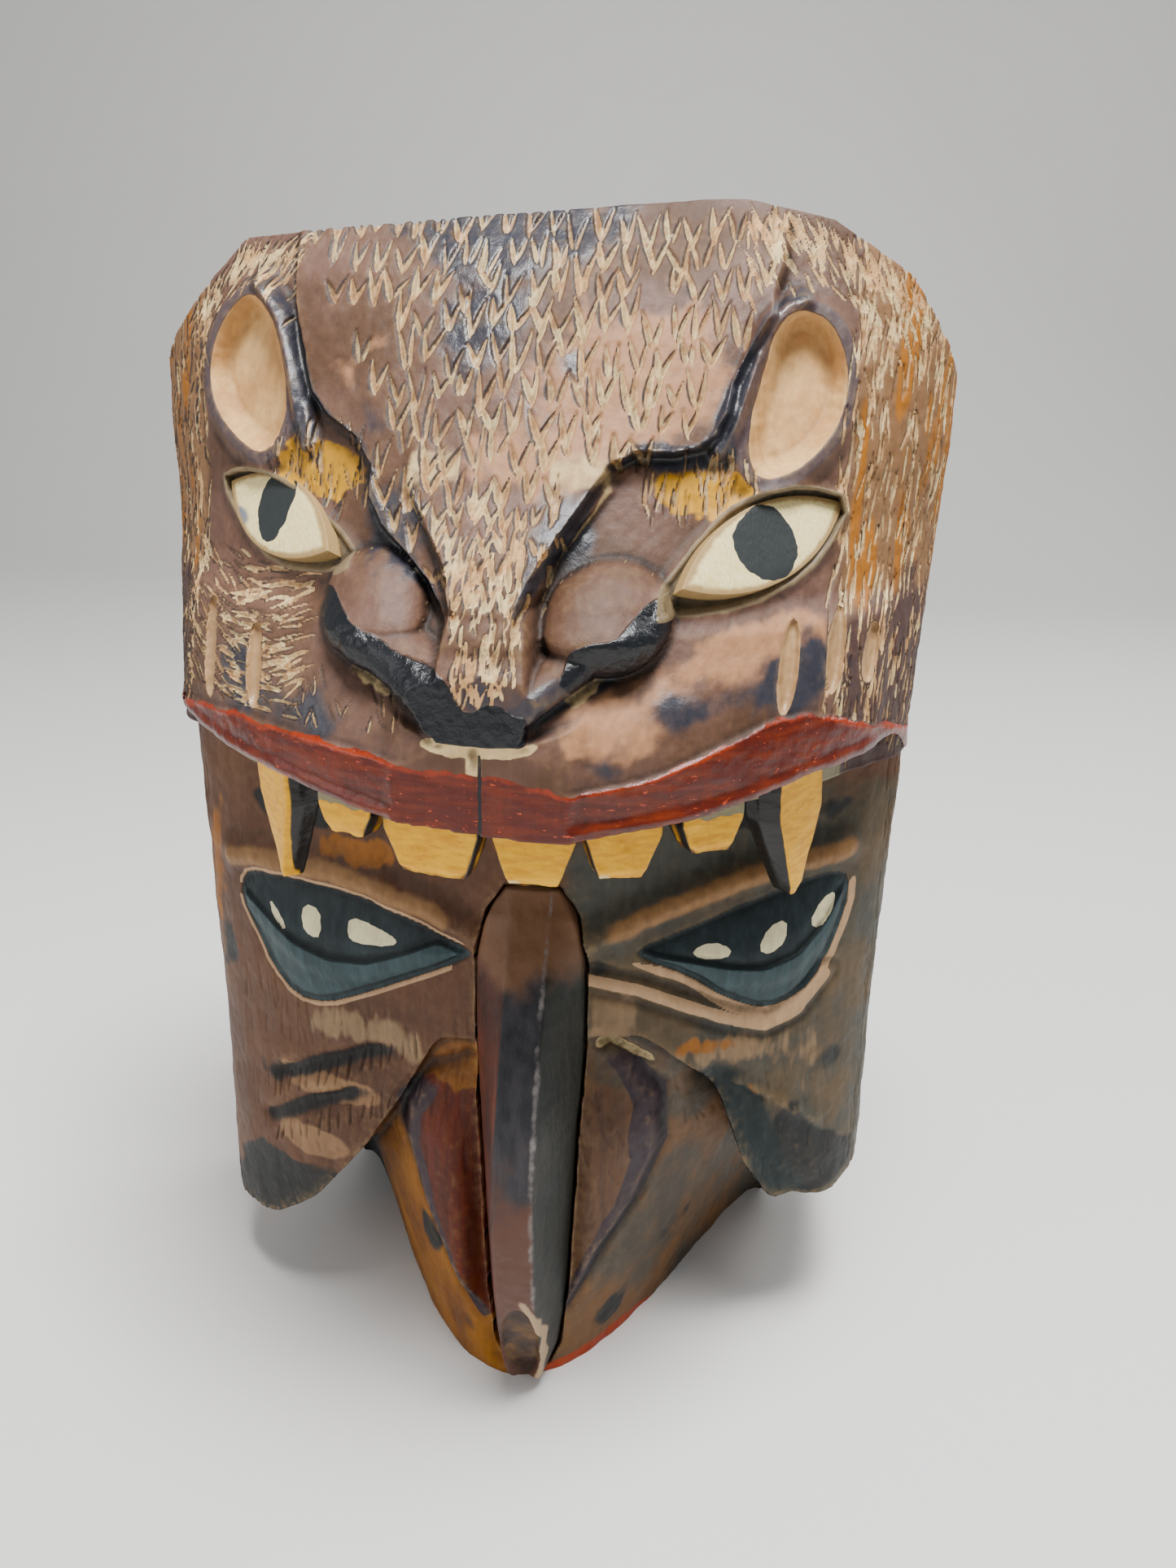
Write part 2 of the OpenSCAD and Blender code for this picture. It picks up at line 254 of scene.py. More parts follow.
# ---------------------------------------------------------------- carved sheets
# How far the sides draw in at each height, as shares of the width
LEFT_DRAW = [(0, 1), (60, 0.985), (110, 1), (172, 0.995), (200, 0.98), (235, 1)]
RIGHT_DRAW = [(0, 1), (40, 0.975), (110, 0.965), (172, 0.965), (200, 0.972), (240, 1)]


class Sheet:
    """A grid of points over the front and side walls, in carved millimetres, with named masks.
    Its columns run from the rear rim along the left side, over the front and back to the rim."""

    def __init__(self, rows, half, height, depth):
        u = sheet_columns()
        levels = np.linspace(0, 1, rows + 1)[:, None]
        self.z = height(u[None, :] * HALF_W, levels)
        self.half = half(self.z)
        self.x = self.half * u[None, :]
        self.draw = np.where(self.x < 0, curve(LEFT_DRAW, self.z, 4), curve(RIGHT_DRAW, self.z, 4))
        self.y = depth(self.x, self.z)
        side = np.arange(SIDE_COLUMNS) / SIDE_COLUMNS
        left = self.y[:, :1] * side + RIM * (1 - side)
        right = self.y[:, -1:] * side[::-1] + RIM * (1 - side[::-1])
        wall = np.ones_like(left)
        self.x = np.hstack([wall * self.x[:, :1], self.x, wall * self.x[:, -1:]])
        self.draw = np.hstack([wall * self.draw[:, :1], self.draw, wall * self.draw[:, -1:]])
        self.z = np.hstack([wall * self.z[:, :1], self.z, wall * self.z[:, -1:]])
        self.y = np.hstack([left, self.y, right])
        self.is_side = np.abs(np.arange(self.x.shape[1]) - SIDE_COLUMNS - COLUMNS / 2) > COLUMNS / 2
        steps = np.hypot(np.diff(self.x, axis=1), np.diff(self.y, axis=1))
        run = np.concatenate([[0], np.cumsum(steps.mean(0))])
        self.s = np.broadcast_to(run - run[len(run) // 2], self.x.shape)
        self.masks = {}

    def mask(self, name, value):
        old = self.masks.get(name, 0.0)
        self.masks[name] = np.maximum(old, np.broadcast_to(value, self.x.shape))

    def normals(self):
        p = np.stack([self.x, self.y, self.z], -1)
        across = np.gradient(p, axis=1)
        up = np.gradient(p, axis=0)
        n = np.cross(across, up)
        return n / np.maximum(np.linalg.norm(n, axis=-1, keepdims=True), 1e-9)

    def s_of(self, x):
        """Distance along the sheet of a place x on its front."""
        row = self.x.shape[0] // 3
        return np.interp(x, self.x[row, SIDE_COLUMNS:-SIDE_COLUMNS],
                         self.s[row, SIDE_COLUMNS:-SIDE_COLUMNS])


def sheet_columns():
    """Columns over the front as shares of the half width, evenly spaced along a typical bow."""
    fine = np.sin(np.linspace(-math.pi / 2, math.pi / 2, 4001))
    y = bow(np.abs(fine), 18, -35, 1.4)
    run = np.concatenate([[0], np.cumsum(np.hypot(np.diff(fine * HALF_W), np.diff(y)))])
    u = np.interp(np.linspace(0, run[-1], COLUMNS + 1), run, fine)
    u[0], u[-1] = -1, 1
    return u


class Strokes:
    """Knife and gouge strokes cut into a sheet: depth to remove, bare wood, and a painted shadow line along
    the steep side of each cut.
    """

    def __init__(self, sheet):
        self.sheet = sheet
        self.depth = np.zeros(sheet.x.shape)
        self.bare = np.zeros(sheet.x.shape)
        # edge: painted shadow, a dark line just outside the steep side of each cut
        self.edge = np.zeros(sheet.x.shape)

    def cut(self, s, z, angle, length, width, depth, bend=0.0, bare=1.0):
        sheet = self.sheet
        reach = length / 2 + width
        i0, i1 = np.searchsorted(sheet.s[0], [s - reach, s + reach])
        column = min(max(int(np.searchsorted(sheet.s[0], s)), 0), sheet.x.shape[1] - 1)
        j0, j1 = np.searchsorted(sheet.z[:, column], [z - reach, z + reach])
        if i1 <= i0 or j1 <= j0:
            return
        part = (slice(j0, j1), slice(i0, i1))
        ds, dz = sheet.s[part] - s, sheet.z[part] - z
        run = ds * math.sin(angle) + dz * math.cos(angle)
        off = ds * math.cos(angle) - dz * math.sin(angle) + bend * run * run
        t = np.clip(run / length + 0.5, 0, 1)
        half = width / 2 * np.clip(4 * t * (1 - t), 0, 1) ** 0.6 * (1.15 - 0.75 * t) + 1e-3
        q = off / half
        slope = np.where(q < -0.35, (1 + q) / 0.65, (1 - q) / 1.35)
        hit = (np.abs(q) < 1) & (np.abs(run) < length / 2)
        self.depth[part] = np.maximum(self.depth[part], np.where(hit, depth * slope, 0))
        shown = np.where(hit, np.clip(1.25 - np.abs(q), 0, 1) * bare, 0)
        self.bare[part] = np.maximum(self.bare[part], shown)
        # painted shadow: a dark line just outside the steep side of the cut
        lip = np.exp(-((q + 1.1) / 0.45) ** 2) * (np.abs(run) < length * 0.42)
        self.edge[part] = np.maximum(self.edge[part], lip)


# ---------------------------------------------------------------- animal head
FOREHEAD_PANEL = rounded([(-53, 300), (-52, 272), (-47, 258), (-43, 248), (-29, 240), (-28.5, 229),
                          (-15, 219), (-10, 212), (-7, 204), (7, 204), (6, 213), (9, 221),
                          (15, 230), (22, 241), (36, 240.5), (42, 246), (44, 257), (52, 270),
                          (53, 300)], 1)
EAR_LEFT = rounded([(-62, 271.5), (-69, 266), (-73, 256), (-71, 247), (-64, 241), (-55, 237),
                    (-50, 244), (-51, 254), (-55, 264)])
EAR_RIGHT = rounded([(56, 269), (51, 266), (48.5, 255), (46, 244), (48.5, 236), (56, 237),
                     (65, 245), (67, 257), (62.5, 267)])
EAR_RIM_LEFT = [(-60, 273), (-53.5, 266), (-49, 256), (-46, 247), (-44.5, 241)]
EAR_RIM_RIGHT = [(56, 271), (50, 266), (46, 256), (43.5, 248), (41, 242)]
EYE_LEFT = rounded([(-69, 231.5), (-62, 234), (-54, 233.5), (-44, 230), (-31, 221.5),
                    (-31, 218.5), (-40, 217), (-50, 217.5), (-60, 222.5)], 1)
EYE_RIGHT = rounded([(29.5, 213), (41, 228), (49, 233), (59, 234.5), (69, 231.5), (64, 221.5),
                     (55, 215.5), (41, 212.5)], 1)
LIP_TOP = [(-93, 176), (-85, 181), (-73, 185.5), (-54, 188.5), (-32, 188), (-8, 185.5),
           (5, 185), (17, 181.5), (32, 184), (44, 188.5), (55, 192.5), (63, 192.5), (76, 187.5),
           (88, 181), (93, 177)]
LIP_BOTTOM = [(-93, 170), (-85, 181.5), (-72, 180.5), (-43, 178), (-20, 174), (1, 172.3),
              (17, 171.5), (40, 174), (64, 179), (81, 179.5), (88, 179), (93, 170)]
# Slots above the lip: x, top and bottom
WHISKERS = [(-66, 208, 188), (-51, 205.5, 190), (57, 210, 193), (67.5, 211, 195),
            (76.5, 207, 195)]
# Nostrils are lumps (x, z, reach in x, reach in z, lift), joined by bars (line, radius, lift)
NOSE_LUMPS = [(-24.5, 212, 11.5, 10.5, 9.5), (22, 211.5, 12.5, 10.5, 10.5)]
NOSE_BARS = [([(-25, 207), (-17, 204), (-9, 200), (-7, 197)], 6.0, 10.0),
             ([(20, 206), (13, 202), (7, 198)], 4.5, 8.0)]


def head_height(x, share):
    return JOINT + (along(CROWN_LINE, x) - JOINT) * share


def head_half(z):
    return np.full_like(z, HALF_W)


def head_depth(x, z):
    return bowed(HEAD_BASE, HALF_W, x, z)


def eye_plane(name, x, z):
    """Depth of the front face of an eye plate of the frame, carried on past its edges."""
    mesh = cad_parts[name].data
    face = max((p for p in mesh.polygons if p.normal.y < -0.2), key=lambda p: p.area)
    n, c = face.normal, mesh.vertices[face.vertices[0]].co * 1000
    return (c.y - (n.x * (x * STRETCH[0] - c.x) + n.z * (z * STRETCH[2] - c.z)) / n.y) / STRETCH[1]


def nose_height(x, z):
    """How far the nose stands out of the muzzle."""
    rise = along([(190, 0), (193, 5.5), (197, 7), (203, 9.5), (212, 9.5), (222, 6.5), (234, 1.5),
                  (244, 0)], z)
    half = along([(192, 8.5), (200, 10), (206, 9.5), (214, 8), (222, 11), (234, 20)], z)
    ridge = rise * step(half + 1.4, half - 1.6, np.abs(x - 0.3))
    height = ridge
    for cx, cz, rx, rz, lift in NOSE_LUMPS:
        d = np.hypot((x - cx) / rx, (z - cz) / rz)
        height = np.maximum(height, dome(d, 1.0, lift))
    for points, radius, lift in NOSE_BARS:
        d, _ = off_line(x, z, points)
        height = np.maximum(height, dome(d, radius, lift))
    return height


def shape_head(sheet):
    x, z = sheet.x, sheet.z
    front = ~sheet.is_side[None, :]
    panel = inside(x, z, FOREHEAD_PANEL)
    out = 5.2 * step(-1.0, 1.0, panel) * step(206, 216, z) * step(292, 274, z)
    out = np.maximum(out, 0) + nose_height(x, z)
    # muzzle pads, with the mouth's ends standing out of the side walls
    out += 3.0 * step(83, 78, np.abs(x - 1)) * step(214, 208, z)
    for cx in (-22, 23):
        out -= 4.2 * hump(x, z, cx, 202.5, 9.5, 6.5)
    # ledge under the nose and groove down to the lip
    ledge = 190.5 + 0.012 * (x - 0.5) ** 2
    out += 1.8 * step(ledge + 0.8, ledge - 0.4, z) * step(20, 15, np.abs(x - 0.5))
    groove = np.exp(-((x + 0.8) / 1.2) ** 2) * step(191, 188, z)
    out -= 1.7 * groove
    sheet.mask("bare", np.clip(groove * 1.5, 0, 1) * front)
    from_crack = np.abs(x - 0.1 - 0.3 * noise(x, z, 4, 12))
    sheet.mask("crack", step(0.55, 0.15, from_crack) * step(190, 188, z) * front)
    # ears: a raised leaf with a hollow cut into it
    for outline, rim in ((EAR_LEFT, EAR_RIM_LEFT), (EAR_RIGHT, EAR_RIM_RIGHT)):
        d = inside(x, z, outline)
        out += 2.6 * step(-5.5, -1.5, d)
        out -= 6.5 * step(-0.3, 3.8, d)
        line, _ = off_line(x, z, rim)
        out += 3.2 * step(3.6, 0.6, line)
        sheet.mask("hollow", step(-0.1, 0.7, d) * front)
        sheet.mask("slate", step(3.6, 1.6, line) * step(0.3, -0.3, d) * front)
        sheet.mask("ear_rim", step(-3.4, -1.6, d) * step(0.4, -0.3, d) * front)
    # whisker slots
    for wx, top, bottom in WHISKERS:
        d = np.abs(x - wx - 0.1 * (z - bottom) * (-1 if wx < 0 else 1) * 0.6)
        t = np.clip((z - bottom) / (top - bottom), 0, 1)
        wide = 2.4 * np.sqrt(4 * t * (1 - t)) ** 0.7
        out -= 2.4 * step(0.2, 1.7, wide - d)
        sheet.mask("whisker", step(0.1, 0.8, wide - d) * front)
    # lip band, with the gum set back under it
    top, bottom = curve(LIP_TOP, x, 2.0), curve(LIP_BOTTOM, x, 2.0)
    ragged = noise(sheet.s, z, 3.5, 11) * 0.9
    lip = np.minimum(top + ragged - z, z - bottom)
    out += 1.1 * step(-0.6, 0.8, top - z) * step(-0.2, 0.6, z - bottom) * front
    sheet.mask("lip", np.where(front, np.clip(lip / 2 + 0.5, 0, 1), 0))
    sheet.mask("lip_edge", step(2.6, 0.6, top + ragged - z) * step(-0.8, 0.2, top + ragged - z)
               * (0.75 + 0.5 * noise(sheet.s, z, 7, 13)) * front)
    sheet.mask("gum", step(0.2, -0.6, z - bottom) * step(78, 68, np.abs(x)) * front)
    out -= 11.8 * step(0.3, -1.0, z - bottom) * step(91, 75, np.abs(x))
    out += 0.8 * step(2.2, 0.0, np.abs(z - bottom - 2.0)) * front * step(200, 190, z)
    sheet.y = sheet.y - np.where(front, out, 0)
    # eye sockets reach just behind the plates
    for outline, name in ((EYE_LEFT, "eye_left"), (EYE_RIGHT, "eye_right")):
        d = inside(x, z, outline)
        floor = eye_plane(name, x, z) + 1.2
        cut = step(-0.35, 0.45, d)
        sheet.y = np.where(front, np.maximum(sheet.y, sheet.y * (1 - cut) + floor * cut), sheet.y)
        lid = step(-3.0, -0.6, d) * step(0.5, -0.3, d)
        sheet.y = sheet.y - np.where(front, 0.9 * lid, 0)
        sheet.mask("lid", step(-1.7 - 0.8 * noise(x, z, 7, 14), -0.4, d) * front)


def head_strokes(sheet):
    rng = np.random.default_rng(5)
    strokes = Strokes(sheet)
    x_of = lambda s: np.interp(s, sheet.s[0], sheet.x[0])

    def zigzag(s, z, width, length, depth, bare, lean=0.0):
        """One V of two strokes that meet at the foot."""
        for leg in (-1, 1):
            tilt = leg * math.atan2(width / 2, length) + rng.normal(0, 0.09) + lean
            strokes.cut(s + leg * width / 4 + rng.normal(0, 0.2), z + rng.normal(0, 0.35), tilt,
                        length * rng.uniform(0.75, 1.15), rng.uniform(1.3, 2.3) * (1.15 if leg < 0 else 0.85),
                        depth * rng.uniform(0.7, 1.2), rng.normal(0, 0.012), bare)

    z = 285.0
    while z > 214:
        left = along([(206, -7), (220, -14), (232, -27), (242, -29), (250, -40), (262, -46), (290, -52)], z)
        right = along([(206, 6), (222, 9), (232, 15), (242, 34), (250, 40), (262, 46), (290, 54)], z)
        pitch = 4.8 if z > 232 else 3.4
        s = sheet.s_of(left + 3)
        stop = sheet.s_of(right - 2)
        while s < stop:
            bald = hump(x_of(s), z, -42, 262, 9, 14) + 0.7 * hump(x_of(s), z, -36, 246, 5, 6)
            if rng.random() > 0.06 + 1.2 * bald:
                zigzag(s, z + rng.normal(0, 1.0), pitch * rng.uniform(0.7, 1.1),
                       (7.8 if z > 232 else 5.6) * rng.uniform(0.75, 1.2), 1.0, rng.uniform(0.55, 1),
                       rng.normal(0, 0.1))
            s += pitch * rng.uniform(0.85, 1.15)
        z -= 6.3 if z > 236 else 4.4
    # bridge of the nose
    for _ in range(130):
        zz = rng.uniform(198, 226)
        half = along([(198, 5.5), (212, 6.5), (226, 13)], zz)
        strokes.cut(sheet.s_of(rng.uniform(-half, half) + 1), zz, rng.normal(0, 0.25), rng.uniform(3, 5.5),
                    rng.uniform(0.8, 1.3), 0.55, rng.normal(0, 0.02), rng.uniform(0.5, 1))
    # golden brows over the eyes
    for cx, cz, wx, wz in ((-42, 236, 12, 8), (38, 234, 13, 6)):
        for _ in range(46):
            px = cx + rng.uniform(-wx, wx)
            strokes.cut(sheet.s_of(px), cz + rng.uniform(-wz, wz), rng.normal(0, 0.14),
                        rng.uniform(4, 7), rng.uniform(0.9, 1.5), 0.5, 0, rng.uniform(0.3, 0.75))
    # hair on the left of the muzzle
    for _ in range(260):
        px, pz = rng.uniform(-80, -40), rng.uniform(190, 218)
        strokes.cut(sheet.s_of(px), pz, -1.0 - 0.025 * (px + 78) + rng.normal(0, 0.15),
                    rng.uniform(5, 9), rng.uniform(0.7, 1.2), 0.5, rng.normal(0.015, 0.01),
                    rng.uniform(0.4, 1))
    for _ in range(26):
        px, pz = rng.uniform(-40, -12), rng.uniform(190, 200)
        strokes.cut(sheet.s_of(px), pz, rng.normal(-0.3, 0.4), rng.uniform(3, 5), rng.uniform(0.7, 1.1),
                    0.45, rng.normal(0, 0.03), rng.uniform(0.3, 0.7))
    # long hair down both side bands
    low, high = sheet.s[0, 0] + 2, sheet.s[0, -1] - 2
    for side, edge in ((-1, sheet.s_of(-74)), (1, sheet.s_of(66))):
        far = low if side < 0 else high
        for _ in range(1150):
            s = rng.uniform(min(edge, far), max(edge, far))
            zz = rng.uniform(176, 284)
            strokes.cut(s, zz, rng.normal(0.05 * side, 0.17), rng.uniform(5, 10), rng.uniform(0.8, 1.6),
                        rng.uniform(0.35, 0.8), rng.normal(0, 0.008), rng.uniform(0.4, 1.0))
    # hair over the upper corners, combed towards the crown
    for side, a, b in ((-1, -80, -50), (1, 44, 84)):
        for _ in range(170):
            px = rng.uniform(a, b)
            zz = along(CROWN_LINE, px) - abs(rng.normal(0, 7)) - 1.5
            if inside(np.array([px]), np.array([zz]), EAR_LEFT if side < 0 else EAR_RIGHT)[0] > -2.5:
                continue
            strokes.cut(sheet.s_of(px), zz, side * rng.normal(-0.55, 0.15), rng.uniform(4, 7),
                        rng.uniform(0.8, 1.3), 0.5, rng.normal(0, 0.01), rng.uniform(0.5, 1))
    return strokes


def paint_head(sheet, strokes):
    """Masks of the stains and paints, and of the painted shadow lines beside the cuts, each from 0 to 1."""
    x, z, s = sheet.x, sheet.z, sheet.s
    front = (~sheet.is_side[None, :]).astype(float)
    blur = noise(s, z, 9, 31)
    fine = noise(s, z, 2.6, 37)
    clear = (inside(x, z, EYE_LEFT) < -0.5) & (inside(x, z, EYE_RIGHT) < -0.5)
    keep = (clear * (1 - sheet.masks["hollow"]) * (1 - sheet.masks["whisker"])
            * step(0.6, 0.3, sheet.masks["lip"]))
    sheet.mask("cut", strokes.bare * keep)
    # painted shadow line beside the steep side of each cut
    sheet.mask("stroke_shadow", strokes.edge * keep)
    slate = blots(x, z, [(1.3, -4, 283, 30, 8), (1.1, -9, 264, 12, 11), (0.6, 4, 246, 9, 7),
                         (1.0, -20, 228, 9, 9), (1.1, 13, 225, 8, 9), (0.8, 3, 201, 9, 6),
                         (1.2, 33, 240, 10, 3.5), (0.9, 45, 247, 5, 8), (0.9, -47, 247, 5, 6),
                         (0.7, 22, 186, 9, 5), (0.9, -38, 192, 17, 6), (0.9, 38, 196, 12, 5),
                         (0.8, 58, 199, 9, 7), (0.7, 12, 258, 5, 6), (0.7, -30, 246, 6, 6),
                         (0.8, -57, 197, 8, 9), (0.7, 68, 200, 10, 9)])
    panel = inside(x, z, FOREHEAD_PANEL)
    slate = slate + 0.9 * np.exp(-((panel - 0.2) / 1.4) ** 2) * step(275, 262, z) * step(206, 218, z)
    sheet.mask("slate", step(0.2, 1.05, slate + 0.45 * blur + 0.2 * fine) * front)
    nose = nose_height(x, z)
    left, _ = off_line(x, z, [(-34, 209), (-28, 205), (-18, 201), (-11, 198), (-8, 195)])
    right, _ = off_line(x, z, [(33, 211), (28, 205.5), (21, 203)])
    band = np.maximum(step(8.2, 5.0, left + 1.5 * blur), step(7.2, 4.4, right + 1.3 * blur))
    joined, _ = off_line(x, z, [(21, 202), (13, 199), (8, 196)])
    sheet.mask("slate", 0.8 * step(4.5, 2.5, joined + blur) * front)
    tip = step(200.5, 196.5, z + 3 * blur + 0.02 * x * x)
    sheet.mask("black", np.maximum(band, tip * step(11, 8, np.abs(x))) * step(0.2, 1.2, nose) * front)
    ring = np.exp(-((nose - 0.9) / 0.8) ** 2) * (z > 208) * (np.abs(x) > 9)
    sheet.mask("bare", 0.62 * ring * step(36, 30, np.abs(x)) * front)
    peach = blots(x, z, [(1.0, 24, 258, 26, 16), (0.9, 8, 240, 20, 8), (0.7, 44, 203, 20, 8),
                         (0.9, 24, 192, 14, 8), (0.5, -36, 258, 14, 14), (0.7, 20, 220, 7, 5),
                         (0.6, 60, 208, 12, 6)])
    sheet.mask("peach", step(0.3, 0.95, peach + 0.35 * blur + 0.12 * fine))
    gold = blots(x, z, [(1, -41, 236, 13, 8), (1, 38, 234, 13, 6), (0.7, 4, 222, 5, 5)])
    sheet.mask("gold", step(0.35, 0.8, gold + 0.25 * fine) * step(0.5, -1.2, panel) * keep * front)
    bare = (blots(x, z, [(1.1, -20, 201, 9, 5), (0.9, 16, 200, 8, 5)])
            + 1.3 * np.exp(-((z - 189.2 - 0.012 * x * x) / 1.4) ** 2) * step(14, 8, np.abs(x)))
    sheet.mask("bare", step(0.4, 0.9, bare + 0.3 * fine) * step(1.2, 0.4, nose) * front)
    band = np.maximum(step(-72, -77, x), step(66, 71, x))
    sheet.mask("hair", np.maximum(band, 1 - front))
    sheet.mask("deep", np.maximum(band, 1 - front) * step(228, 200, z + 10 * blur))
    sheet.mask("orange", np.maximum(band, 1 - front) * step(0.1, 0.6, noise(s * 2.2, z * 0.5, 12, 41) + 0.2))


# ---------------------------------------------------------------- face
FACE_EYE_LEFT = rounded([(-77, 124), (-75.5, 131), (-70, 133.5), (-61, 134), (-45, 134), (-32, 132),
                         (-22, 129), (-11, 125.5), (-12, 123), (-27, 115), (-40, 108), (-51, 102.5),
                         (-60, 102), (-67, 108), (-72, 117)], 1)
FACE_EYE_RIGHT = rounded([(28, 127), (38, 130.5), (49, 135), (61, 139), (71, 142), (79, 142),
                          (81, 136), (79, 128), (75, 118), (69, 111), (60, 108.5), (50, 113),
                          (41, 120), (30, 124.5)], 1)
FACE_LID_LEFT = [(-77, 128), (-70, 125), (-59, 119), (-49, 117), (-38, 118), (-29, 122), (-20, 126.5),
                 (-10, 127)]
FACE_LID_RIGHT = [(27, 127), (40, 124.5), (50, 122.5), (59, 121.5), (68, 124), (75, 130.5), (79, 138),
                  (82, 143)]
FACE_SPOTS = [([(-67, 128), (-62.5, 124.5), (-61, 120.5), (-65, 123)], 0.4),
              ([(-56, 129), (-51, 128.5), (-50.5, 122), (-54, 121), (-56.5, 124)], 0.5),
              ([(-43, 128.5), (-36, 127.5), (-29.5, 125.2), (-31, 123.4), (-41, 122.3), (-43.4, 124)], 0.5),
              ([(41, 126.5), (46, 128.6), (51, 126.6), (49.5, 124.3), (43, 124.3)], 0.4),
              ([(57, 126), (59, 131), (64, 132.6), (64.2, 127.5), (60, 124.4)], 0.5),
              ([(70, 130.5), (73, 136), (77, 137.5), (76.6, 133), (73, 128.5)], 0.4)]
BROW_LEFT = [(-80, 135), (-72, 137.5), (-49, 138.5), (-36, 137), (-21, 134), (-10, 129)]
BROW_RIGHT = [(17, 129), (29, 135), (40, 139), (50, 142.5), (62, 146), (80, 148)]
# Lines of the wrinkles, each with a share of the full width and depth
WRINKLES = [([(-71, 74), (-55, 83), (-39, 91), (-25, 95.5)], 1.5),
            ([(-75, 59), (-59, 70), (-44, 78), (-33, 81)], 1.5),
            ([(18, 100), (23, 101.5), (30, 96.5), (36, 93)], 0.8)]
WING_LEFT = [(-12, 95), (-22, 90), (-30.5, 80), (-32, 68), (-27, 50), (-18.5, 34), (-8, 18)]
WING_RIGHT = [(20, 102), (28, 96), (35.5, 86), (36.5, 66), (31, 51), (21.5, 38), (12, 20)]
BEAK_X, BEAK_HALF, BEAK_SEAT = 3.5, 13.0, -16.0
# Rows of the beak: height, and its shares of BEAK_OUT and of BEAK_HALF
BEAK_ROWS = [(4, .42, .42), (10, .52, .62), (28, .74, .76), (46, .9, .82), (66, 1, .88), (90, .94, .96),
             (108, .76, 1), (126, .5, .98), (136, .26, .8), (142, .14, .5)]
BEAK_OUT = 34.0


def face_height(x, share):
    return JOINT * share + 0 * x


def face_half(z):
    return curve(SHELL_HALF, z, 3)


def face_depth(x, z):
    plate = bowed(PLATE_BASE, HALF_W, x, z) + np.maximum(0, curve(CHEEK_EDGE, x, 2.0) - z) * 3.0
    muzzle = bowed(MUZZLE_BASE, along(MUZZLE_HALF, z), x, z)
    return soft_min(plate, muzzle, 5)


def beak_half(z):
    return BEAK_HALF * along([(r[0], r[2]) for r in BEAK_ROWS], z)


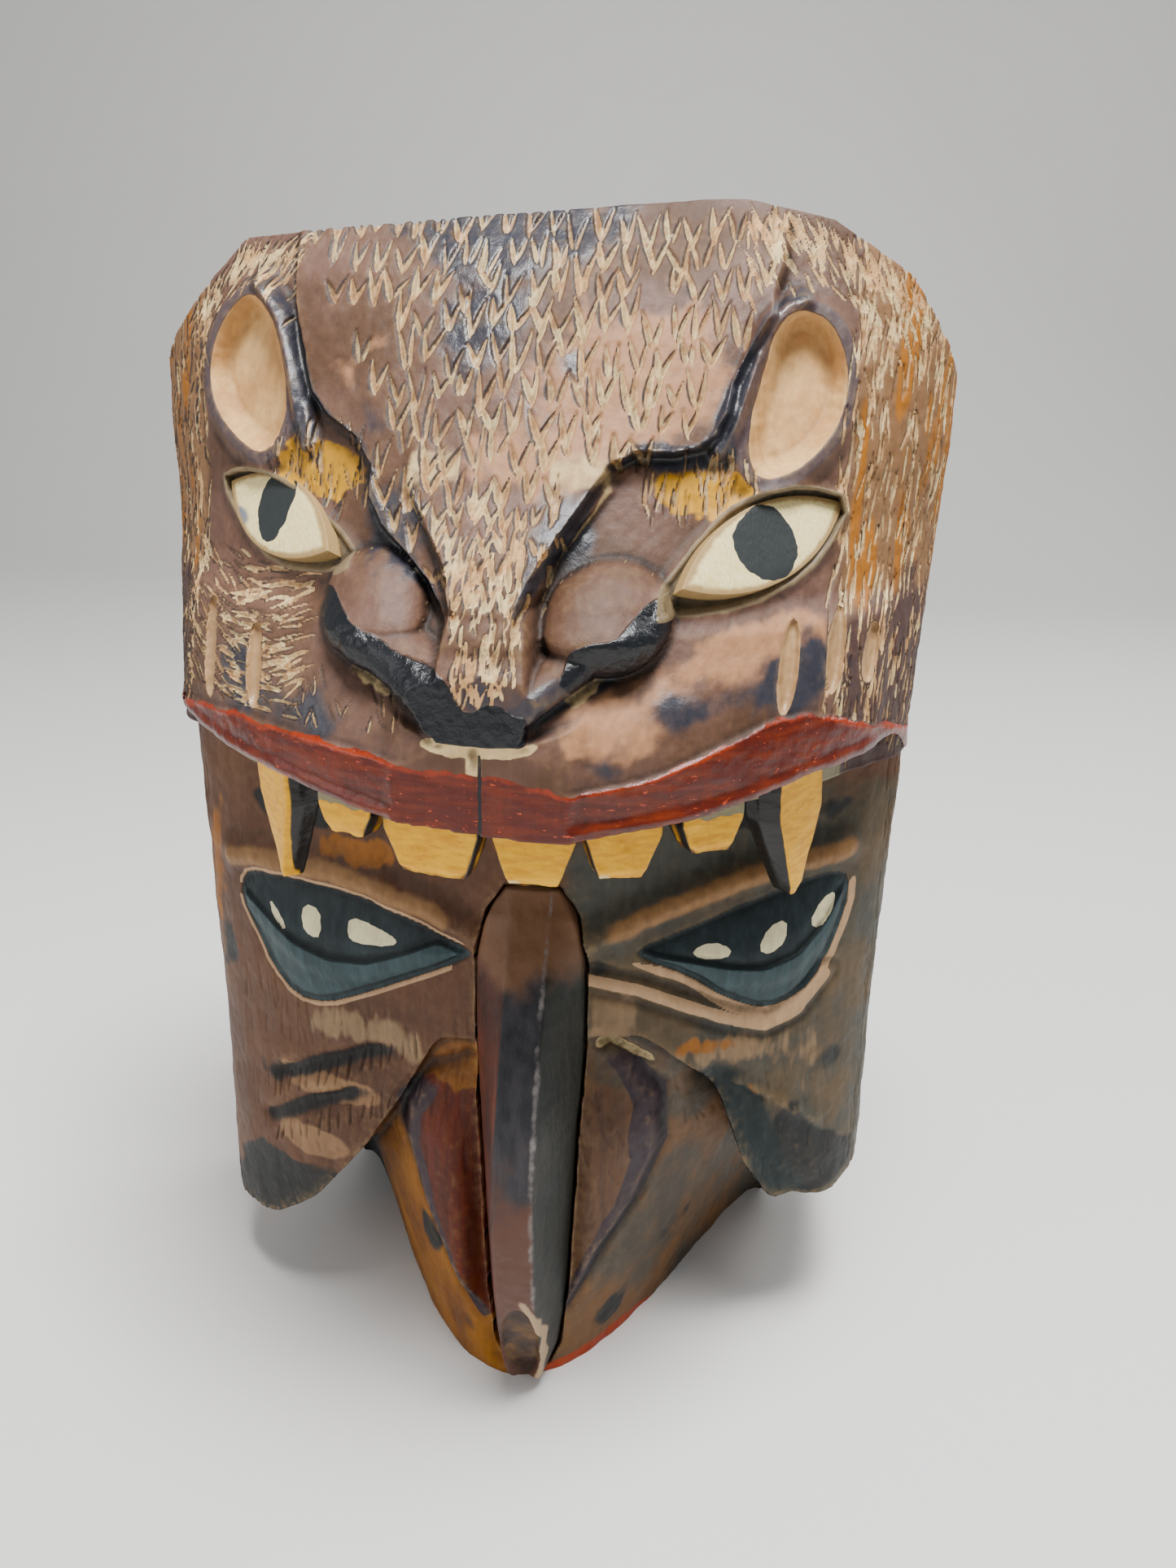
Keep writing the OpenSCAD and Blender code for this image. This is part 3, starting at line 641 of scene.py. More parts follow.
def shape_face(sheet):
    x, z, s = sheet.x, sheet.z, sheet.s
    front = ~sheet.is_side[None, :]
    out = 0.0
    eyes = np.maximum(inside(x, z, FACE_EYE_LEFT), inside(x, z, FACE_EYE_RIGHT))
    for line, tall in ((BROW_LEFT, 3.0), (BROW_RIGHT, 3.4)):
        d, _ = off_line(x, z, line)
        out = np.maximum(out, tall * np.exp(-(d / 4.0) ** 2))
    out -= 1.6 * step(-0.6, 0.8, eyes)
    out += 3.2 * np.sqrt(np.clip(eyes / 11, 0, 1))
    lid = np.where(x < 5, curve(FACE_LID_LEFT, x, 1.5), curve(FACE_LID_RIGHT, x, 1.5))
    under = step(0.5, -0.5, z - lid)
    out += 1.3 * under * step(0.3, 2.0, eyes) * step(9, 3, np.abs(z - lid))
    sheet.mask("eye", step(-0.3, 0.3, eyes) * front)
    sheet.mask("lid", step(-0.3, 0.3, eyes) * under * front)
    rim = np.exp(-((z - lid) / 0.9) ** 2) * (eyes > 0.5)
    lower = np.exp(-((eyes - 1.3) / 1.0) ** 2) * (z < lid)
    sheet.mask("line", np.maximum(rim, 0.8 * lower * (np.abs(x) > 14)) * front)
    width = np.where(x < 5, 1.3, 2.6)
    under_eye = (z < lid - 3) & (np.abs(x) > 16)
    band = step(-width - 0.6, -width + 0.3, eyes) * step(0.1, -0.4, eyes)
    left_top = band * (x < 5) * (z > lid) * 0.9
    sheet.mask("outline", np.maximum(band * under_eye, left_top) * front)
    right_band, _ = off_line(x, z, [(17, 119.5), (29, 116.5), (41, 111.5), (53, 106.5), (61, 104.5),
                                    (69, 107), (76, 115)])
    sheet.mask("outline", step(2.3, 1.3, right_band) * front)
    out += 0.7 * np.exp(-(right_band / 2.2) ** 2)
    out -= 0.8 * np.exp(-((right_band - 3.4) / 1.4) ** 2) * (x > 5)
    for outline, soft in FACE_SPOTS:
        spot = inside(x, z, rounded(outline, 1)) + 0.15 * noise(s, z, 1.5, 5)
        sheet.mask("spot", step(-soft, soft, spot) * front)
    # wrinkles of the left cheek, and the hollow of the right one
    for line, wide in WRINKLES:
        d, t = off_line(x, z, line)
        below = np.exp(-(d / (1.7 * wide)) ** 2) * step(0, 0.12, t) * step(1.0, 0.7, t)
        out -= 1.5 * wide * below
        sheet.mask("wrinkle", below * front * (x < 0))
        sheet.mask("bare", below * front * (x > 0))
    out += blots(x, z, [(1.6, -58, 66, 14, 6), (1.4, -50, 79, 14, 5)])
    d, t = off_line(x, z, [(40, 92), (50, 88), (57, 80), (62, 68), (66, 58), (72, 50)])
    pit = np.exp(-(d / 6.5) ** 2)
    out -= 4.2 * (pit * step(0, 0.2, t))
    sheet.mask("pit", pit * step(0, 0.15, t) * front)
    d, _ = off_line(x, z, [(54, 88), (67, 81), (78, 73)])
    out += 1.2 * np.exp(-(d / 2.0) ** 2)
    # wings beside the beak, each with a groove round its outer edge
    for line, sign in ((WING_LEFT, -1), (WING_RIGHT, 1)):
        d, t = off_line(x, z, line)
        edge = np.interp(z, [p[1] for p in line[::-1]], [p[0] for p in line[::-1]])
        within = (sign * (edge - x) > 0) & (z < line[0][1]) & (z > line[-1][1]) & (sign * (x - BEAK_X) > 0)
        signed = np.where(within, d, -d)
        inner = step(-0.4, 3.2, signed) * step(14, 24, z) * step(98, 70, z)
        out += 4.2 * inner * front * (sign * (x - BEAK_X) > 0)
        groove = np.exp(-((signed + 0.6) / 1.9) ** 2) * step(12, 22, z)
        out -= 1.4 * groove * front
        sheet.mask("wing_left" if sign < 0 else "wing_right",
                   step(-0.5, 1.5, signed) * step(96, 80, z + 4 * noise(s, z, 5, 7)) * front)
        wide = along([(18, 1.5), (35, 4), (60, 6.5), (80, 6), (93, 3)] if sign < 0 else
                     [(25, 2), (50, 6), (75, 8), (100, 3)], z)
        band = step(-1.8, -0.6, signed) * step(wide + 1.2, wide - 0.8, signed)
        fade = step(94, 80, z) if sign < 0 else step(104, 92, z)
        sheet.mask("groove", band * step(10, 22, z) * fade * front)
    sheet.y = sheet.y - np.where(front, out, 0)
    # the wood falls towards the shoulders of the beak, and is cut away for its seat
    seat = beak_half(z) + 0.15 - np.abs(x - BEAK_X)
    near = step(9, 0.5, -seat) * step(146, 140, z) * step(1, 5, z) * front
    sheet.y = sheet.y + np.maximum(-24.6 - sheet.y, 0) * near
    deep = step(-0.3, 0.3, seat) * step(3.0, 3.6, z) * step(142.8, 142.2, z) * front
    sheet.y = sheet.y * (1 - deep) + np.maximum(sheet.y, BEAK_SEAT + 0.35) * deep
    sheet.masks["seat"] = deep


def paint_face(sheet):
    x, z, s = sheet.x, sheet.z, sheet.s
    front = (~sheet.is_side[None, :]).astype(float)
    blur = noise(s, z, 10, 131)
    streak = noise(s, z * 0.35, 4, 137)
    sheet.mask("olive", step(4, 16, x + 3 * blur) * step(178, 150, z + 8 * blur))
    edge = curve(CHEEK_EDGE, x, 2.0)
    on_muzzle = step(1.5, -3.5, z - edge)
    sheet.mask("ochre", on_muzzle * step(6, -2, x) * front)
    sheet.mask("under", on_muzzle * step(-2, 6, x) * front)
    tip = step(14, 4, z - edge) * step(-44, -58, x) + blots(x, z, [(1.2, -74, 42, 13, 13),
                                                                   (1.2, -60, 44, 12, 7),
                                                                   (1.3, 80, 58, 13, 12),
                                                                   (0.8, 68, 70, 9, 14)])
    sheet.mask("dark", step(0.35, 0.9, tip + 0.3 * blur) * (1 - 0.8 * hump(x, z, -58, 56, 13, 6))
               * (0.1 + 0.9 * front))
    sheet.mask("pad", step(0.35, 0.75, hump(x, z, -57, 60, 17, 7) + 0.2 * blur)
               * step(-2, 2, z - edge) * front)
    sheet.mask("pad", 0.9 * step(0.35, 0.75, hump(x, z, -52, 78, 20, 6) + 0.2 * streak) * front)
    brow = 0.0
    for line in (BROW_LEFT, BROW_RIGHT):
        d, t = off_line(x, z, line)
        along_brow = t + 0.1 * streak if line is BROW_LEFT else 1 - t
        brow = np.maximum(brow, np.exp(-(d / 3.4) ** 2) * step(1.02, 0.85, along_brow))
    sheet.mask("brow", brow * step(0.6, 0.2, sheet.masks["eye"]) * front)
    # Painted shade: darker patches over the lower face; the first four lie across the band just under the
    # head's lip and paint the shadow it casts there.
    shade = blots(x, z, [(1, -60, 152, 20, 7), (1.1, 60, 158, 26, 7), (0.9, -25, 156, 14, 5),
                         (0.8, 22, 152, 12, 8), (0.7, -70, 74, 8, 10), (0.7, 80, 100, 10, 24),
                         (0.7, -84, 110, 7, 28), (0.7, 20, 122, 8, 9), (0.6, 60, 90, 12, 8),
                         (0.7, -18, 106, 7, 12), (0.9, -24, 36, 7, 9), (0.8, 40, 26, 10, 8),
                         (0.6, -12, 14, 5, 8), (0.8, 26, 12, 9, 9), (0.7, 50, 44, 9, 10)])
    sheet.mask("dark", step(0.4, 0.95, shade + 0.4 * blur) * 0.85 * front)
    warm = blots(x, z, [(1, -40, 145, 16, 5), (1, 2, 152, 12, 12), (0.8, 46, 100, 12, 4),
                        (0.9, -86, 130, 6, 30), (0.7, 58, 84, 5, 8)])
    sheet.mask("warm", step(0.35, 0.9, warm + 0.35 * streak))
    pale = blots(x, z, [(0.9, 22, 108, 8, 12), (0.8, 52, 98, 16, 7), (0.9, -42, 97, 26, 8),
                        (0.7, 40, 74, 6, 14), (0.6, 74, 92, 8, 12), (0.6, 30, 20, 8, 12)])
    sheet.mask("pale", step(0.3, 0.9, pale + 0.4 * streak + 0.15 * blur))
    low = step(1.5, -1.0, z - along([(2, 1), (12, 3), (28, 4), (36, 0)], x)) * step(3, 6, x)
    sheet.mask("lip_strip", low * step(38, 34, x) * front)
    side = 1 - front
    sheet.mask("warm", 0.8 * side * step(-0.5, 0.8, noise(s, z * 0.3, 6, 139) + 0.3 * (x < 0)))


def make_face():
    sheet = Sheet(FACE_ROWS, face_half, face_height, face_depth)
    shape_face(sheet)
    paint_face(sheet)
    rng = np.random.default_rng(9)
    strokes = Strokes(sheet)
    low, high = sheet.s[0, 0] + 2, sheet.s[0, -1] - 2
    for side, edge in ((-1, sheet.s_of(-89)), (1, sheet.s_of(89))):
        far = low if side < 0 else high
        for _ in range(260):
            strokes.cut(rng.uniform(min(edge, far), max(edge, far)), rng.uniform(20, 168),
                        rng.normal(0, 0.08), rng.uniform(8, 18), rng.uniform(1.0, 2.2),
                        rng.uniform(0.2, 0.45), 0, 0.5)
    for _ in range(120):
        strokes.cut(rng.uniform(sheet.s_of(-80), sheet.s_of(-10)), rng.uniform(60, 104), rng.normal(0, 0.1),
                    rng.uniform(5, 12), rng.uniform(1.5, 3), rng.uniform(0.08, 0.2), 0, 0.25)
    for k in range(15):
        px = -70 + 3.1 * k + rng.normal(0, 0.8)
        for low_z, high_z in ((0.53 * (px + 70) + 51, 0.62 * (px + 72) + 62),
                              (0.62 * (px + 72) + 65, 0.5 * (px + 70) + 77)):
            strokes.cut(sheet.s_of(px), (low_z + high_z) / 2, rng.normal(0.1, 0.12), rng.uniform(5, 8),
                        rng.uniform(1.0, 1.8), rng.uniform(0.5, 0.9), 0, 0.25)
    for _ in range(90):
        strokes.cut(rng.uniform(sheet.s_of(16), sheet.s_of(84)), rng.uniform(50, 104), rng.normal(-0.3, 0.2),
                    rng.uniform(5, 12), rng.uniform(1.2, 3), rng.uniform(0.08, 0.25), 0, 0.3)
    sheet.mask("cut", strokes.bare * step(0.5, 0.1, sheet.masks["eye"]))
    quiet = np.clip(sheet.masks["eye"] + sheet.masks["seat"], 0, 1)
    relief = -strokes.depth * (1 - quiet)
    relief += 0.25 * noise(sheet.s, sheet.z, 7, 151) * (1 - sheet.masks["seat"])
    relief -= 0.45 * (1 - scoops(sheet.s, sheet.z, 9, 16, 152)) * (1 - quiet)
    relief -= 0.10 * (1 - noise(sheet.s, sheet.z, 1.8, 153)) * (1 - sheet.masks["seat"])
    sheet.masks.pop("seat")
    carve_fine(sheet, relief)
    find_wear(sheet)
    foot = lambda x, y: 0 * x
    piece = block_mesh("carved_face_block", sheet, False, face_paint(), 130, 110, foot)
    bores = [((x, y, JOINT - 9.5), "Z", DOWEL_BORE, 21) for x, y in DOWELS]
    bores += [((side * 84, STRAP_Y, 132), "X", CORD_HOLE, 30) for side in (-1, 1)]
    cut_bores(piece, bores)
    place_piece(piece, "face_wood", "face_block")


# ---------------------------------------------------------------- meshes
def to_frame(p):
    return np.asarray(p, float) * STRETCH / 1000


def bridge(outer, inner, angle_of):
    """Triangles between two open lines of vertex numbers, each sorted by angle."""
    faces = []
    a = b = 0
    while a < len(outer) - 1 or b < len(inner) - 1:
        outer_next = angle_of(outer[a + 1]) if a < len(outer) - 1 else 1e9
        inner_next = angle_of(inner[b + 1]) if b < len(inner) - 1 else 1e9
        if outer_next <= inner_next:
            faces.append((outer[a], outer[a + 1], inner[b]))
            a += 1
        else:
            faces.append((outer[a], inner[b + 1], inner[b]))
            b += 1
    return faces


def grid_faces(numbers, flip=False):
    a, b = numbers[:-1, :-1].ravel(), numbers[:-1, 1:].ravel()
    c, d = numbers[1:, 1:].ravel(), numbers[1:, :-1].ravel()
    quads = np.stack([a, b, c, d] if not flip else [a, d, c, b], 1)
    return [tuple(q) for q in quads.tolist()]


HOLLOW_POWER = 2.5
HOLLOW_HALF = 76.0
HOLLOW_LOW, HOLLOW_HIGH = 20.0, 269.0
HOLLOW_FRONT = 2.1


def hollow_sheet(z_low, z_high, rows, columns):
    """Grid over the wearer's hollow between two levels: its x, y, z and grime."""
    middle, reach = (HOLLOW_LOW + HOLLOW_HIGH) / 2, (HOLLOW_HIGH - HOLLOW_LOW) / 2
    a0 = np.arcsin(np.clip((z_low - middle) / reach, -1, 1))
    a1 = np.arcsin(np.clip((z_high - middle) / reach, -1, 1))
    z = middle + reach * np.sin(np.linspace(a0, a1, rows + 1))
    h = np.clip(np.abs(z - middle) / reach, 0, 1) ** HOLLOW_POWER
    half = HOLLOW_HALF * (1 - h) ** (1 / HOLLOW_POWER)
    u = np.sin(np.linspace(-math.pi / 2, math.pi / 2, columns + 1))
    x = half[:, None] * u
    left = np.clip(1 - h[:, None] - (np.abs(x) / HOLLOW_HALF) ** HOLLOW_POWER, 0, 1)
    y = RIM - (RIM - HOLLOW_FRONT) * left ** (1 / HOLLOW_POWER)
    z = np.broadcast_to(z[:, None], x.shape)
    facet = scoops(x + 0.3 * y, z, 9, 15, 77)
    tool = 1.4 * facet ** 2 + 0.3 * noise(x, z, 4, 78)
    fade = step(RIM, RIM - 6, y) * step(0, 6, z - z_low) * step(0, 6, z_high - z)
    return x, y - tool * fade, z, step(0.75, 0.2, facet) * step(RIM, RIM - 10, y)


def build(name, points, faces, masks, material, smooth=True):
    mesh = bpy.data.meshes.new(name)
    mesh.from_pydata(to_frame(points).tolist(), [], faces)
    mesh.validate()
    for key, values in masks.items():
        attribute = mesh.attributes.new(key, "FLOAT", "POINT")
        attribute.data.foreach_set("value", np.asarray(values, np.float32))
    if smooth:
        mesh.polygons.foreach_set("use_smooth", [True] * len(mesh.polygons))
    mesh.materials.append(material)
    piece = bpy.data.objects.new(name, mesh)
    bpy.context.scene.collection.objects.link(piece)
    return piece


def carve_fine(sheet, relief):
    """Moves the sheet along its normals by relief, which fades out at the rim and the joint."""
    fade = step(0, 3, RIM - sheet.y) * step(0, 1.2, np.abs(sheet.z - JOINT))
    sheet.x = sheet.x * (1 - (1 - sheet.draw) * step(0.55, 1.0, np.abs(sheet.x) / HALF_W))
    n = sheet.normals()
    move = (relief * fade)[..., None] * n
    sheet.x = np.clip(sheet.x + move[..., 0], -HALF_W + INSET, HALF_W - INSET)
    sheet.y = np.clip(sheet.y + move[..., 1], -RIM + INSET, RIM)
    sheet.z = np.clip(sheet.z + move[..., 2], 0, CEILING)


def find_wear(sheet):
    """Masks of the hollows that hold dirt and of the edges that are rubbed."""
    p = np.stack([sheet.x, sheet.y, sheet.z], -1)
    n = sheet.normals()
    fine = np.sum((soften(p, 3) - p) * n, -1)
    wide = np.sum((soften(p, 10) - p) * n, -1)
    spared = 1 - 0.8 * np.maximum(sheet.masks.get("hollow", 0.0), sheet.masks.get("whisker", 0.0))
    sheet.mask("dirt", np.clip(fine / 0.22, 0, 1) * 0.75 * spared + np.clip(wide / 2.2, 0, 1) * 0.6 * spared)
    sheet.mask("rubbed", np.clip(-fine / 0.22, 0, 1) * 0.7 + np.clip(-wide / 2.0, 0, 1) * 0.5)


def cap_rows(sheet, j, levels):
    """Rows from the edge row j of a sheet straight back to the rim, over its front columns."""
    front = slice(SIDE_COLUMNS, SIDE_COLUMNS + COLUMNS + 1)
    x, y, z = [a[j, front] for a in (sheet.x, sheet.y, sheet.z)]
    share = (np.arange(1, levels + 1) / levels)[:, None]
    return (np.broadcast_to(x, (levels, len(x))), y + (RIM - y) * share,
            np.broadcast_to(z, (levels, len(z))))


def block_mesh(name, sheet, cap_at_top, material, hollow_rows, hollow_columns, cap_relief):
    """Closes a sheet with its cap, the hollow, the rim and the joint face."""
    x, y, z = sheet.x, sheet.y, sheet.z
    rows = len(x)
    number = np.arange(x.size).reshape(x.shape)
    points = [np.stack([x, y, z], -1).reshape(-1, 3)]
    faces = grid_faces(number)
    j = rows - 1 if cap_at_top else 0
    cx, cy, cz = cap_rows(sheet, j, SIDE_COLUMNS)
    from_edge = cy - y[j, SIDE_COLUMNS:SIDE_COLUMNS + COLUMNS + 1]
    even = soften(np.broadcast_to(cz[:1], (3, cz.shape[1])), COLUMNS // 60)[0]
    level = (np.abs(cx) < HALF_W - 3) * step(0, 5, from_edge)
    cz = cz * (1 - level) + even * level
    cz = cz + cap_relief(cx, cy) * step(0, 4, RIM - cy) * step(0, 2, from_edge)
    cz = np.minimum(cz, CEILING)
    # the cap's own edge columns are the side walls' edge rows
    cap = x.size + np.arange(cx[:, 1:-1].size).reshape(cx[:, 1:-1].shape)
    points.append(np.stack([cx, cy, cz], -1)[:, 1:-1].reshape(-1, 3))
    left = number[j, :SIDE_COLUMNS][::-1]
    right = number[j, SIDE_COLUMNS + COLUMNS + 1:]
    cap = np.hstack([left[:, None], cap, right[:, None]])
    edge = number[j, SIDE_COLUMNS:SIDE_COLUMNS + COLUMNS + 1]
    faces += grid_faces(np.vstack([edge[None, :], cap]), flip=not cap_at_top)
    count = sum(len(p) for p in points)
    levels = (JOINT, HOLLOW_HIGH) if cap_at_top else (HOLLOW_LOW, JOINT)
    hx, hy, hz, grime = hollow_sheet(*levels, hollow_rows, hollow_columns)
    bowl = count + np.arange(hx.size).reshape(hx.shape)
    far = -1 if cap_at_top else 0
    bowl[far] = bowl[far, 0]
    points.append(np.stack([hx, hy, hz], -1).reshape(-1, 3))
    faces += grid_faces(bowl, flip=True)
    if cap_at_top:
        outer = list(number[:, 0]) + list(cap[-1, 1:-1]) + list(number[::-1, -1])
    else:
        outer = list(number[::-1, 0]) + list(cap[-1, 1:-1]) + list(number[:, -1])
    # a band just inside the rim's edge keeps the paint of the walls off the bare rim
    edge_points = np.concatenate(points)[outer]
    middle = np.array([0.0, RIM, JOINT + (50 if cap_at_top else -80)])
    pull = middle - edge_points
    pull[:, 1] = 0
    pull = pull / np.linalg.norm(pull, axis=1, keepdims=True) * 0.7
    pull[[0, -1], 2] = 0
    band = count + hx.size + np.arange(len(outer))
    points.append(np.column_stack([edge_points[:, 0] + pull[:, 0], np.full(len(outer), RIM),
                                   edge_points[:, 2] + pull[:, 2]]))
    every = np.concatenate(points)
    faces += grid_faces(np.vstack([outer, band]), flip=not cap_at_top)

    def turn(v):
        """Angle of a rim vertex about the middle of the joint line, from the left."""
        p = every[v]
        return math.atan2(abs(p[2] - JOINT), -p[0])

    if cap_at_top:
        inner = list(dict.fromkeys(list(bowl[:, 0]) + list(bowl[::-1, -1])))
        faces += bridge(list(band), inner, turn)
    else:
        inner = list(dict.fromkeys(list(bowl[::-1, 0]) + list(bowl[:, -1])))
        faces += [f[::-1] for f in bridge(list(band), inner, turn)]

    def swing(v):
        p = every[v]
        return math.atan2(RIM - p[1], -p[0])

    seam = 0 if cap_at_top else rows - 1
    hollow_seam = 0 if cap_at_top else hx.shape[0] - 1
    inner = [band[0]] + list(bowl[hollow_seam]) + [band[-1]]
    between = bridge(list(number[seam]), inner, swing)
    faces += [f[::-1] for f in between] if cap_at_top else between
    total = len(every)
    masks = {}
    from_edge = from_edge[:, 1:-1]
    flecks = step(0.15, 0.4, noise(cx, cy * 0.16, 1.3, 65, 2))[:, 1:-1]
    for key, value in sheet.masks.items():
        cap_value = np.repeat(value[j:j + 1, SIDE_COLUMNS + 1:SIDE_COLUMNS + COLUMNS], SIDE_COLUMNS, 0)
        if key not in ("hair", "deep", "olive", "ochre", "under", "dark", "lip_strip"):
            cap_value = cap_value * step(5, 1, from_edge)
        if key == "cut" and cap_at_top:
            cap_value = np.maximum(cap_value, 0.8 * flecks * step(1, 5, from_edge))
        whole = np.zeros(total)
        whole[:x.size] = value.ravel()
        whole[x.size:x.size + cap_value.size] = cap_value.ravel()
        masks[key] = whole
    raw = np.zeros(total)
    raw[count:] = 1
    masks["raw"] = raw
    masks["dirt"][count:count + grime.size] = 0.4 * grime.ravel()
    faces = [f for f in (tuple(dict.fromkeys(f)) for f in faces) if len(f) > 2]
    used = np.zeros(total, bool)
    used[[v for f in faces for v in f]] = True
    fresh = (np.cumsum(used) - 1).tolist()
    faces = [tuple(fresh[v] for v in f) for f in faces]
    return build(name, every[used], faces, {k: v[used] for k, v in masks.items()}, material)


def cut_bores(piece, bores):
    """Cuts round bores, given as (middle, axis, radius, length), out of a piece."""
    points, faces = [], []
    sides = 48
    turn = np.linspace(0, 2 * math.pi, sides, endpoint=False)
    for middle, axis, radius, length in bores:
        start = len(points)
        ring = [np.cos(turn) * radius, np.sin(turn) * radius]
        for end in (-length / 2, length / 2):
            flat = np.full(sides, end)
            order = [flat, ring[0], ring[1]] if axis == "X" else [ring[0], ring[1], flat]
            points += (np.stack(order, 1) + middle).tolist()
        a = list(range(start, start + sides))
        b = [k + sides for k in a]
        faces += [a[::-1], b]
        faces += [(a[k], a[(k + 1) % sides], b[(k + 1) % sides], b[k]) for k in range(sides)]
    cutter = build("cutter", points, faces, {"raw": np.ones(len(points))}, piece.data.materials[0], False)
    cut = piece.modifiers.new("bores", "BOOLEAN")
    cut.operation, cut.solver, cut.object = "DIFFERENCE", "MANIFOLD", cutter
    view = bpy.context.evaluated_depsgraph_get()
    mesh = bpy.data.meshes.new_from_object(piece.evaluated_get(view))
    piece.modifiers.clear()
    old, piece.data = piece.data, mesh
    bpy.data.meshes.remove(old)
    bpy.data.objects.remove(cutter)


# ---------------------------------------------------------------- materials
class Paint:
    """A node material that lays colours over one another by masks: stains and paints, and in places painted
    shade and highlights.
    """

    def __init__(self, name):
        self.material = bpy.data.materials.new(name)
        self.material.use_nodes = True
        self.tree = self.material.node_tree
        self.tree.nodes.clear()
        self.out = self.add("ShaderNodeOutputMaterial")
        self.shader = self.add("ShaderNodeBsdfPrincipled")
        self.tree.links.new(self.shader.outputs["BSDF"], self.out.inputs["Surface"])
        self.place = self.add("ShaderNodeTexCoord").outputs["Object"]
        self.heights = []
        self.base = None

    def add(self, kind):
        return self.tree.nodes.new(kind)

    def link(self, a, b):
        self.tree.links.new(a, b)

    def math(self, kind, a, b=0.0, clamp=False):
        node = self.add("ShaderNodeMath")
        node.operation = kind
        node.use_clamp = clamp
        for socket, value in zip(node.inputs, (a, b)):
            if hasattr(value, "is_linked"):
                self.link(value, socket)
            else:
                socket.default_value = value
        return node.outputs[0]

    def attribute(self, name):
        node = self.add("ShaderNodeAttribute")
        node.attribute_name = name
        return node.outputs["Fac"]

    def noise(self, scale, detail=4.0, stretch=(1, 1, 1), rough=0.55):
        """Noise from 0 to 1; scale is in cells per metre."""
        mapping = self.add("ShaderNodeMapping")
        mapping.inputs["Scale"].default_value = stretch
        self.link(self.place, mapping.inputs["Vector"])
        node = self.add("ShaderNodeTexNoise")
        node.inputs["Scale"].default_value = scale
        node.inputs["Detail"].default_value = detail
        node.inputs["Roughness"].default_value = rough
        self.link(mapping.outputs["Vector"], node.inputs["Vector"])
        return node.outputs["Fac"]

    def ramp(self, value, low, high):
        node = self.add("ShaderNodeMapRange")
        node.inputs["From Min"].default_value = low
        node.inputs["From Max"].default_value = high
        node.interpolation_type = "SMOOTHSTEP"
        self.link(value, node.inputs["Value"])
        return node.outputs["Result"]

    def colour(self, value):
        node = self.add("ShaderNodeRGB")
        node.outputs[0].default_value = (*value, 1)
        return node.outputs[0]

    def mix(self, share, a, b):
        node = self.add("ShaderNodeMix")
        node.data_type = "RGBA"
        for socket, value in ((node.inputs["Factor"], share), (node.inputs["A"], a), (node.inputs["B"], b)):
            if hasattr(value, "is_linked"):
                self.link(value, socket)
            elif isinstance(value, tuple):
                socket.default_value = (*value, 1)
            else:
                socket.default_value = value
        return node.outputs["Result"]

    def blend(self, value, low, high, a, b):
        return self.mix(self.ramp(value, low, high), a, b)

    def worn(self, name, low=0.35, high=0.65, rag=0.35, scale=900.0):
        """A mask from the mesh with its edge broken up by noise."""
        broken = self.math("SUBTRACT", self.noise(scale, 3), 0.5)
        broken = self.math("MULTIPLY", broken, rag)
        return self.ramp(self.math("ADD", self.attribute(name), broken), low, high)

    def lay(self, name, colour, *edge):
        """Lays a colour over the base where a mask is, and gives the mask."""
        share = self.worn(name, *edge)
        self.base = self.mix(share, self.base, colour)
        return share

    def bump(self, height, strength, distance):
        node = self.add("ShaderNodeBump")
        node.inputs["Strength"].default_value = strength
        node.inputs["Distance"].default_value = distance
        self.link(height, node.inputs["Height"])
        if self.heights:
            self.link(self.heights[-1], node.inputs["Normal"])
        self.heights.append(node.outputs["Normal"])

    def scaled(self, colour, share):
        node = self.add("ShaderNodeVectorMath")
        node.operation = "SCALE"
        self.link(colour, node.inputs[0])
        self.link(share, node.inputs["Scale"])
        return node.outputs[0]

    def aged(self, colour, spared, deep=0.75, lift=0.55):
        """Darkens the hollows and lightens the rubbed edges."""
        dirt = self.math("MULTIPLY", self.attribute("dirt"), deep)
        soiled = self.scaled(colour, self.math("ADD", self.noise(700, 3), -0.25, True))
        colour = self.mix(dirt, colour, soiled)
        rubbed = self.math("MULTIPLY", self.attribute("rubbed"), self.ramp(self.noise(420, 4), 0.35, 0.7))
        rubbed = self.math("MULTIPLY", rubbed, self.math("SUBTRACT", 1.0, spared, True))
        return self.mix(self.math("MULTIPLY", rubbed, lift), colour, self.mix(0.45, colour, TAN))

    def finish(self, colour, roughness, shine=0.5, vivid=1.0):
        node = self.add("ShaderNodeHueSaturation")
        node.inputs["Saturation"].default_value = vivid
        self.link(colour, node.inputs["Color"])
        self.link(node.outputs["Color"], self.shader.inputs["Base Color"])
        self.shader.inputs["Specular IOR Level"].default_value = shine
        if hasattr(roughness, "is_linked"):
            self.link(roughness, self.shader.inputs["Roughness"])
        else:
            self.shader.inputs["Roughness"].default_value = roughness
        if self.heights:
            self.link(self.heights[-1], self.shader.inputs["Normal"])
        return self.material


MAUVE = (0.138, 0.076, 0.056)
BROWN = (0.082, 0.040, 0.022)
PEACH = (0.380, 0.205, 0.120)
SLATE = (0.030, 0.030, 0.040)
BLACK = (0.005, 0.006, 0.008)
TAN = (0.420, 0.285, 0.150)
CREAM = (0.820, 0.640, 0.370)
GOLD = (0.560, 0.300, 0.065)
RED = (0.085, 0.012, 0.007)
PINK = (0.450, 0.110, 0.075)
GREY_GREEN = (0.230, 0.205, 0.130)
ORANGE = (0.330, 0.135, 0.040)
RAW = (0.420, 0.270, 0.140)


